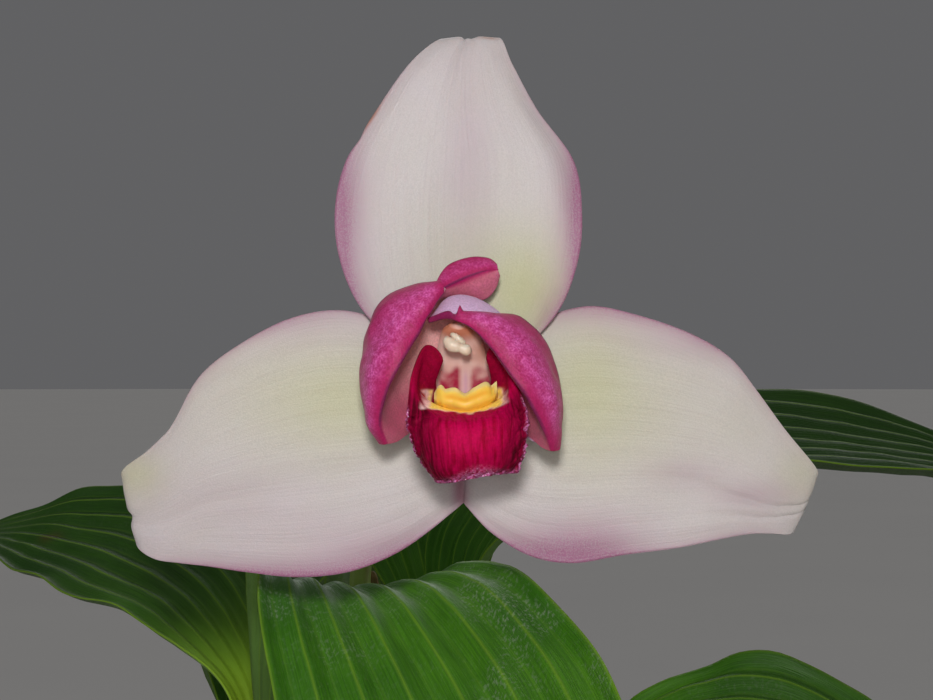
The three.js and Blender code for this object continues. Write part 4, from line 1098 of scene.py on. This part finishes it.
def leaf_blade(stations, t, j):
    """The arched blade without its pleats, the way that it faces, and its half width."""
    here, _, side, up = frames_along(stations, t, through(stations, t)[:, 3:6])
    half = np.maximum(here[:, 6], 1)[:, None]
    arc = np.maximum(here[:, 7], 0.15)[:, None]
    bend = arc * (j / PLEATS - 1)
    face = up[:, None] * np.cos(bend)[..., None] - side[:, None] * np.sin(bend)[..., None]
    out = half * np.sin(bend) / arc
    rise = half * (1 - np.cos(bend)) / arc
    blade = here[:, None, :3] + side[:, None] * out[..., None] + up[:, None] * rise[..., None]
    return blade, face, half


def leaf_relief(number, wave, blade, half, t, j):
    """Pleats, waves in the edge and a slight unevenness, all smaller where the blade is narrow."""
    opened = np.clip((half - 5) / 12, 0, 1)
    pleat = LEAF_PLEAT * half * opened * np.cos(math.pi * j)
    edge = np.abs(j / PLEATS - 1)
    edge_wave = wave * opened * edge**4 * np.sin(2 * math.pi * (7 * t + 0.4 * number))
    uneven = 0.5 * opened * waves(blade, 22, 40 + number) + 0.12 * opened * waves(blade, 5, 50 + number)
    return pleat + edge_wave + uneven


def leaf_marks(name, look, blade, t, j):
    edge = np.abs(j / PLEATS - 1)
    from_rib = np.abs((j + 1) % 2 - 1)
    rib = bell(from_rib, 0, 0.037) + 0.2 * bell(from_rib, 1, 0.03)
    young = 0.75 * step(t, look["young"], look["young"] - 0.24) + 0.25 * step(edge, 0.97, 1.0)
    dust = look["dust"] * step(t, 0.3, 0.5)
    spot = bell(np.linalg.norm(blade - LEAF_SPOT, axis=-1), 0, 2.2) * (name == "leaf_left")
    # Painted shade, by the leaf's dark share on its blade and a fixed share on its stalk.
    dark = look["dark"] * step(t, 0.3, 0.55) + 0.4 * step(t, 0.3, 0.2)
    return {"tone": channels(rib, young, dust), "spot": spot, "deep": dark}


def leaf(number, name, stations):
    look = USUAL_LEAF | LEAF_LOOKS.get(name, {})
    rows, across = LEAF_GRID
    t, j = np.meshgrid(np.linspace(0, 1, rows), np.linspace(0, 2 * PLEATS, across), indexing="ij")
    blade, face, half = leaf_blade(stations, t[:, 0], j)
    points = blade + face * leaf_relief(number, look["wave"], blade, half, t, j)[..., None]
    thick = mix(0.35, 0.75, step(np.abs(j / PLEATS - 1), 1, 0.96))
    marks = leaf_marks(name, look, blade, t, j)
    add_sheet(name, "leaf", points, face, thick, t, j / 2 / PLEATS, marks)


# The flower's stalk: x, y, z and radius, up to the ovary behind the sepals

STALK = [
    [5, -28, 104, 2.9],
    [5, -28, 128, 2.7],
    [4, -25, 160, 2.4],
    [1, -20, 195, 2.3],
    [-2, -15, 228, 2.3],
    [-3, -13, 256, 2.3],
    [0, -19, 281, 2.4],
    [8, -38, 296, 2.7],
    [16, -58, 297, 3.1],
    [19.8, -70.9, 295, 3.3],
]
STALK_GRID = (220, 40)
STALK_BLUSH = 0.8  # how reddish it is where the sepals join it
# Where a sheath starts and its tip ends, as shares of the stalk's length, and the way the tip looks
SHEATHS = {
    "sheath_low": [0.1, 0.3, 2],
    "sheath_middle": [0.37, 0.56, -1],
    "sheath_flower": [0.68, 0.88, 1.2],
}
SHEATH_GRID = (44, 56)
SHEATH_WRAP = 0.86 * math.pi  # how far round the stalk it goes, to each side


def stalk_relief(rings, t, turn):
    ribs = 0.06 * np.cos(9 * turn)
    collars = sum(0.5 * bell(t, start, 0.006) for start, _, _ in SHEATHS.values())
    ovary = step(t, 0.9, 0.99) * (0.5 + 0.35 * np.cos(6 * turn))
    return ribs + collars + ovary + 0.1 * waves(rings, 5, 61)


def flower_stalk():
    rings = rod(STALK, *STALK_GRID, SIDEWAYS, stalk_relief)
    share = np.linspace(0, 1, len(rings))[:, None] * np.ones(rings.shape[1])
    cup = tube(receptacle())
    blush = with_ends(STALK_BLUSH * step(share, 0.82, 1), STALK_BLUSH)
    blush = np.concatenate([blush, np.full(len(cup[0]), STALK_BLUSH)])
    add_piece("flower_stalk", joined([tube(rings), cup]), "stalk", marks={"blush": blush})


def receptacle():
    """Where the stalk's end widens into the backs of the three sepals."""
    turn = around(48)
    rings = []
    for radius, ahead in [(2.2, 0.4), (2.9, 2.6), (4.6, 4.0), (6.4, 4.6)]:
        lobed = radius * (1 + 0.12 * np.cos(3 * turn + math.pi / 2))
        y = np.full(len(turn), 8.0 - 1.35 * ahead)
        rings.append(np.stack([lobed * np.cos(turn), y, lobed * np.sin(turn) - 3.4], -1))
    return np.array(rings) + FLOWER


def sheath(name, start, tip, facing):
    i, j = grid(*SHEATH_GRID)
    turn = (2 * j - 1) * SHEATH_WRAP
    reach = 0.35 + 0.65 * (0.5 + 0.5 * np.cos(turn)) ** 1.4
    here, _, one, two = frames_along(STALK, start + (tip - start) * i * reach, SIDEWAYS)
    flare = 1.1 + 1.7 * np.sin(math.pi * i) + 0.8 * i
    out = one * np.sin(turn + facing)[..., None] + two * np.cos(turn + facing)[..., None]
    flat = here[..., :3] + out * (here[..., 3] + flare)[..., None]
    fibres = 0.18 * np.cos(30 * math.pi * j) * (1 - i)
    points = flat + out * (fibres + 0.25 * waves(flat, 4, 71))[..., None]
    worn = np.clip(step(i, 0.8, 1) + step(np.abs(2 * j - 1), 0.93, 1), 0, 1)
    add_sheet(name, "sheath", points, out, mix(0.35, 0.6, step(i, 1, 0.8)), i, j, {"worn": worn})


# Pseudobulbs: foot x, y, height, half width, half thickness, turn about the upright, lean

BULBS = {
    "pseudobulb_front": [-22, -15, 67, 23, 17, 0.5, (1, 0)],
    "pseudobulb_middle": [24, 10, 73, 24, 18, -0.6, (2, 1)],
    "pseudobulb_old": [-14, 35, 57, 19, 14, 0.2, (-3, 3)],
    "pseudobulb_oldest": [-49, 16, 45, 15, 12, 1.2, (-5, 1)],
}
AGES = {"pseudobulb_front": 0.0, "pseudobulb_middle": 0.15, "pseudobulb_old": 0.7, "pseudobulb_oldest": 1.0}
BULB_GRID = (80, 96)
BULB_HEIGHTS = [0, 0.07, 0.2, 0.36, 0.52, 0.68, 0.82, 0.93, 1]
BULB_WIDTHS = [0.5, 0.72, 0.94, 1, 0.95, 0.8, 0.6, 0.44, 0.36]
BULB_FURROWS = 8
# The dry husks: the bulb's name, the turn of the split and the share of the bulb's height
HUSKS = {
    "husk_front": ("pseudobulb_front", 2.2, 0.42),
    "husk_middle": ("pseudobulb_middle", -2.3, 0.4),
    "husk_old": ("pseudobulb_old", 1.2, 0.34),
}
HUSK_GRID = (40, 100)
HUSK_FOOT = 0.07  # where it starts, as a share of the bulb's height
HUSK_WRAP = 0.88  # how much of the way round the bulb it goes


def on_bulb(shape, up, turn, stretch, off):
    """Places round a bulb, from their shares of its height and width, and how far off its skin."""
    x, y, tall, wide, thick, turned, lean = shape
    p = (wide * stretch + off) * np.cos(turn)
    q = (thick * stretch + off) * np.sin(turn)
    c, s = math.cos(turned), math.sin(turned)
    bend = up**2
    out_x = p * c - q * s + lean[0] * bend
    out_y = p * s + q * c + lean[1] * bend
    return np.stack([x + out_x, y + out_y, NECK + tall * up], -1)


def bulb(number, name, shape):
    t, turn = round_grid(*BULB_GRID)
    up, share = np.moveaxis(through(np.transpose([BULB_HEIGHTS, BULB_WIDTHS]), t), -1, 0)
    age = AGES[name]
    swell = np.sin(math.pi * up)
    stretch = share * (1 - 0.05 * np.cos(BULB_FURROWS * turn) * swell)
    smooth = on_bulb(shape, up, turn, stretch, 0)
    wander = 2 * waves(smooth, 30, 80 + number)
    wrinkle = (0.25 + 0.5 * age) * np.cos(2 * BULB_FURROWS * turn + wander) * swell
    scar = 0.8 * bell(up, 0.965, 0.012)
    rough = 0.3 * waves(smooth, 7, 90 + number)
    rings = on_bulb(shape, up, turn, stretch, wrinkle + scar + rough)
    ridge = step(np.cos(BULB_FURROWS * turn), 0.2, 1.0) * swell
    brown = np.clip(step(up, 0.95, 0.99) + step(up, 0.06, 0.0), 0, 1)
    marks = {"tone": with_ends(channels(ridge, age)), "brown": with_ends(brown, 1.0)}
    add_piece(name, tube(rings), "bulb", marks=marks)


def husk(number, name, bulb_name, split, share):
    i, j = grid(*HUSK_GRID)
    f = 2 * j - 1
    turn = split + math.pi + f * HUSK_WRAP * math.pi
    tears = 0.035 * waves(np.stack([turn * 9, i, i], -1), 2.2, 100 + number)
    torn = 0.93 + 0.07 * np.cos(12 * math.pi * j) + tears
    top = share * (0.7 + 0.3 * np.cos(f * math.pi)) * torn
    up = mix(HUSK_FOOT, top, i)
    stretch = np.interp(up, BULB_HEIGHTS, BULB_WIDTHS) * 1.05
    off = 1.5 + 1.2 * i**2
    shape = BULBS[bulb_name]
    flat = on_bulb(shape, up, turn, stretch, off)
    fold = 0.3 * np.cos(50 * math.pi * j) * i + 0.35 * waves(flat, 6, 110 + number)
    points = on_bulb(shape, up, turn, stretch, off + fold)
    outward = (flat - np.array([shape[0], shape[1], 0])) * np.array([1, 1, 0])
    normals = normals_of(points, UPRIGHT)
    if (normals * unit(outward)).sum() < 0:
        normals = -normals
    add_sheet(name, "husk", points, normals, mix(0.3, 0.6, 1 - i), i, j, {"worn": step(i, 0.75, 1)})


# The creeping stem: x, y, z, radius, and its roots: where each leaves it, and where it dives

RHIZOME = [
    [-54, 18, 110, 4.5],
    [-36, 26, 111, 5],
    [-14, 34, 111, 5.5],
    [8, 24, 111, 5.5],
    [22, 10, 111, 6],
    [4, -4, 111, 5.5],
    [-18, -16, 111, 6],
    [-32, -22, 110, 4.5],
]
ROOTS = [
    [-24, -19, -36, -44],
    [-14, -16, -2, -60],
    [-26, -20, -58, -26],
    [24, 8, 54, -14],
    [8, 0, 32, -36],
    [-10, 33, 4, 62],
]


def root_relief(rings, t, turn):
    return 0.22 * waves(rings, 4, 121) + 0.12 * waves(rings, 1.8, 122)


def rhizome():
    parts = [tube(rod(RHIZOME, 160, 28, UPRIGHT, root_relief))]
    for x, y, p, q in ROOTS:
        root = [
            [x, y, 110, 1.7],
            [mix(x, p, 0.33), mix(y, q, 0.33), 114.5, 1.7],
            [mix(x, p, 0.7), mix(y, q, 0.7), 115, 1.6],
            [p, q, 108, 1.5],
        ]
        parts.append(tube(rod(root, 50, 18, UPRIGHT, root_relief)))
    add_piece("rhizome", joined(parts), "root")


def pot_outside(z):
    return mix(POT["foot"], POT["top"] - POT["band_out"], z / POT["height"])


def pot_inside(z):
    return mix(POT["foot"], POT["top"], z / POT["height"]) - POT["wall"]


def squarish(value):
    """A sine or cosine made flatter at its ends, so that a ball becomes a block."""
    return np.sign(value) * np.abs(value) ** 0.4


def chip(size, draw):
    """One piece of bark: a rough-edged slab, flaked along its grain."""
    rows, sides = 9, 14
    up = np.linspace(0.05, math.pi - 0.05, rows)[:, None]
    turn = around(sides)[None, :]
    points = np.stack([
        squarish(np.sin(up)) * squarish(np.cos(turn)),
        squarish(np.sin(up)) * squarish(np.sin(turn)),
        squarish(np.cos(up)) * np.ones(sides),
    ], -1) * np.array(size) / 2
    seed = int(draw.integers(1, 9999))
    coarse = waves(points * (1, 1, 2.5), 7, seed)
    fine = waves(points * (1, 1, 3), 2.4, seed + 1)
    return points * (1 + 0.1 * coarse + 0.06 * fine)[..., None]


def turned(points, about_x, about_y, about_z):
    for angle, a, b in [(about_x, 1, 2), (about_y, 2, 0), (about_z, 0, 1)]:
        c, s = math.cos(angle), math.sin(angle)
        first, second = points[..., a].copy(), points[..., b].copy()
        points[..., a] = first * c - second * s
        points[..., b] = first * s + second * c
    return points


def clear_of_bulbs(x, y, reach):
    """Whether a chip of that reach stays beside the bulbs' feet and the stalk."""
    for bx, by, _, wide, thick, _, _ in BULBS.values():
        if math.hypot(x - bx, y - by) < 0.9 * (wide + thick) / 2 + reach:
            return False
    return math.hypot(x - STALK[0][0], y - STALK[0][1]) > 3 + reach


def bark_bed(rim):
    """The body of bark that fills the pot below the loose chips."""
    rows, sides = 40, 96
    edge = BARK["top"] - 2
    profile = [(pot_inside(POT["floor"]) - BARK["foot_gap"], POT["floor"] + 0.4), (rim, edge)]
    profile += [(rim * (1 - k / rows), edge + BARK["dome"] * k / rows) for k in range(1, rows)]
    rings = lathe(profile, sides)
    rings[2:, :, 2] += 0.9 * waves(rings[2:], 8, 131)
    return tube(rings)


def loose_chip(i, rim, draw):
    """The chip with number i of a spiral from the pot's middle, and its lift, or None beside a bulb."""
    away = math.sqrt((i + 0.5) / BARK["chips"]) * (rim - 5)
    x, y = away * math.cos(i * GOLDEN_ANGLE), away * math.sin(i * GOLDEN_ANGLE)
    size = np.array([BARK["long"], BARK["wide"], BARK["thick"]]) * draw.uniform(0.3, 0.85)
    size = size * draw.uniform(0.75, 1.25, 3)
    size[0] = min(size[0], 2 * (rim - away) + 4)
    tilts = draw.normal(0, 0.28, 2)
    lift = draw.uniform(-1.5, 2.2)
    spin = draw.uniform(0, 2 * math.pi)
    if not clear_of_bulbs(x, y, 0.3 * size[0]):
        return None
    slab = turned(chip(size, draw), *tilts, spin)
    slab = slab + np.array([x, y, BARK["top"] + BARK["dome"] * (1 - away / rim) + lift])
    beyond = np.hypot(slab[..., 0], slab[..., 1])
    slab[..., :2] *= np.minimum(1, rim / np.maximum(beyond, 1e-6))[..., None]
    return tube(slab), lift


def bark():
    draw = np.random.default_rng(7)
    rim = pot_inside(BARK["top"]) - BARK["gap"]
    parts = [bark_bed(rim)]
    own = [np.full(len(parts[0][0]), 0.2)]
    # Painted shade: the bed under the chips is darkest.
    deep = [np.full(len(parts[0][0]), 0.8)]
    for i in range(BARK["chips"]):
        made = loose_chip(i, rim, draw)
        if made is None:
            continue
        body, lift = made
        parts.append(body)
        own.append(np.full(len(body[0]), draw.uniform(0, 1)))
        # Painted shade: a chip that lies lower is darker.
        deep.append(np.full(len(body[0]), 0.35 * step(lift, 1.5, -1.5)))
    marks = {"own": np.concatenate(own), "deep": np.concatenate(deep)}
    add_piece("bark", joined(parts), "bark", marks=marks)


def pot_profile():
    """Radius and height of the pot's skin, from the middle of its foot, over the rim, to its floor."""
    height, foot, top, floor = POT["height"], POT["foot"], POT["top"], POT["floor"]
    out, below = POT["band_out"], POT["height"] - POT["band"]
    band_foot = pot_outside(below)
    rim = pot_inside(height)
    profile = [(0.01, 0), (20, 0), (foot - 3, 0), (foot - 1, 0.4), (foot - 0.2, 1.6)]
    profile += [(pot_outside(z), z) for z in np.linspace(3, below - 1.4, 40)]
    profile += [(band_foot - 0.4, below - 0.4), (band_foot + 0.8, below + 0.1)]
    profile += [(band_foot + out - 0.7, below + 0.2), (band_foot + out, below + 1.2)]
    up_band = np.linspace(0.1, 1, 12)
    profile += [(mix(band_foot + out, top, k), mix(below + 1.2, height - 2, k)) for k in up_band]
    profile += [(top - 0.5, height - 0.7), (top - 1.8, height)]
    profile += [(rim + 1.8, height), (rim + 0.4, height - 0.6), (rim, height - 2)]
    profile += [(pot_inside(z), z) for z in np.linspace(height - 4, floor + 2, 30)]
    return profile + [(pot_inside(floor) - 1.5, floor), (20, floor), (0.01, floor)]


def pot():
    profile = pot_profile()
    rings = lathe(profile, 160)
    radii = np.array([radius for radius, _ in profile])[:, None]
    heights = rings[..., 2]
    thrown = 0.12 * np.sin(heights * 1.9) + 0.08 * np.sin(heights * 0.83 + 1) + 0.12 * waves(rings, 40, 141)
    rings[..., :2] *= (1 + thrown * (radii > 30) / radii)[..., None]
    body = tube(rings)
    high = body[0][:, 2]
    lime = step(high, 96, 70) * step(high, 10, 34) + 0.8 * step(high, 116, 128)
    damp = step(high, 40, 4)
    drill(add_piece("pot", body, "clay", marks={"lime": lime, "damp": damp}))


def drill(piece):
    """Cuts the drain holes through the pot's floor."""
    bit = lathe([(DRAIN["radius"], -5), (DRAIN["radius"], 2 * POT["floor"])], 40)
    places = [
        np.array([DRAIN["ring"] * math.cos(angle), DRAIN["ring"] * math.sin(angle), 0])
        for angle in around(DRAIN["count"])
    ]
    vertices, faces = joined([tube(bit + place) for place in places])
    mesh = bpy.data.meshes.new("drill")
    mesh.from_pydata((vertices * MM).tolist(), [], faces)
    bits = in_scene("drill", mesh)
    cut = piece.modifiers.new("drain", "BOOLEAN")
    cut.object = bits
    cut.operation = "DIFFERENCE"
    cut.solver = "EXACT"
    shaped = piece.evaluated_get(bpy.context.evaluated_depsgraph_get())
    piece.data = bpy.data.meshes.new_from_object(shaped)
    piece.modifiers.clear()
    bpy.data.objects.remove(bits)


# Floor, lights and camera

CAMERA_AT = (0.0207, -0.593, 0.307)  # level with the bloom, 518 mm in front of it
BLOOM = Vector(FLOWER * MM)
FLOOR_REACH = 20.0  # metres, so that its edge is out of sight


def floor():
    disc = lathe([(FLOOR_REACH, 0)], 96)[0].tolist()
    mesh = bpy.data.meshes.new("floor")
    mesh.from_pydata(disc, [], [list(range(len(disc)))])
    mesh.materials.append(floor_paint())
    piece = in_scene("floor", mesh)


def lamp(name, kind, place, power, target=BLOOM, **settings):
    light = bpy.data.lights.new(name, kind)
    light.energy = power
    for key, value in settings.items():
        setattr(light, key, value)
    made = in_scene(name, light)
    made.location = place
    made.rotation_euler = (target - Vector(place)).to_track_quat("-Z", "Y").to_euler()


def studio():
    lamp("key", "AREA", (0.01, -0.66, 0.455), 2.5, size=0.09)
    lamp("front", "AREA", (0.02, -0.62, 0.33), 0.35, size=0.12)
    lamp("fill_left", "AREA", (-0.9, -0.5, 0.5), 0.6, size=0.8)
    lamp("fill_right", "AREA", (0.95, -0.2, 0.6), 0.6, size=0.8)
    lamp("back", "AREA", (0.2, 1.1, 0.9), 4.5, size=0.9)
    lamp("overhead", "SUN", (0, 0, 3), 0.4, Vector((0, 0, 0)), angle=1.2)
    world = bpy.data.worlds.new("studio")
    world.use_nodes = True
    world.node_tree.nodes["Background"].inputs[0].default_value = (0.12, 0.12, 0.124, 1)
    bpy.context.scene.world = world
    bpy.context.scene.view_settings.view_transform = "Standard"


def camera():
    lens = bpy.data.cameras.new("camera")
    lens.lens = 100
    lens.sensor_width = 36
    made = in_scene("camera", lens)
    made.location = CAMERA_AT
    made.rotation_euler = (math.pi / 2, 0, 0)
    bpy.context.scene.camera = made


PAINTS = {
    "sepal": sepal_paint(),
    "petal": petal_paint(),
    "lip": lip_paint(),
    "callus": callus_paint(),
    "column": column_paint(),
    "anther": anther_paint(),
    "leaf": leaf_paint(),
    "stalk": stalk_paint(),
    "sheath": papery_paint("sheath", tint(128, 140, 78), tint(150, 140, 88), tint(112, 84, 52), 7),
    "bulb": bulb_paint(),
    "husk": papery_paint("husk", tint(186, 156, 108), tint(150, 116, 72), tint(96, 68, 42), 12),
    "root": root_paint(),
    "bark": bark_paint(),
    "clay": clay_paint(),
}

for piece_name in SEPALS:
    sepal(piece_name)
petal("petal_left", SIDEWAYS)
petal("petal_right", -SIDEWAYS)
lip()
callus()
column()
anther_cap()
for place, (piece_name, piece_stations) in enumerate(LEAVES.items()):
    leaf(place, piece_name, piece_stations)
flower_stalk()
for piece_name, piece_span in SHEATHS.items():
    sheath(piece_name, *piece_span)
for place, (piece_name, piece_shape) in enumerate(BULBS.items()):
    bulb(place, piece_name, piece_shape)
for place, (piece_name, piece_shape) in enumerate(HUSKS.items()):
    husk(place, piece_name, *piece_shape)
rhizome()
bark()
pot()
floor()
studio()
camera()
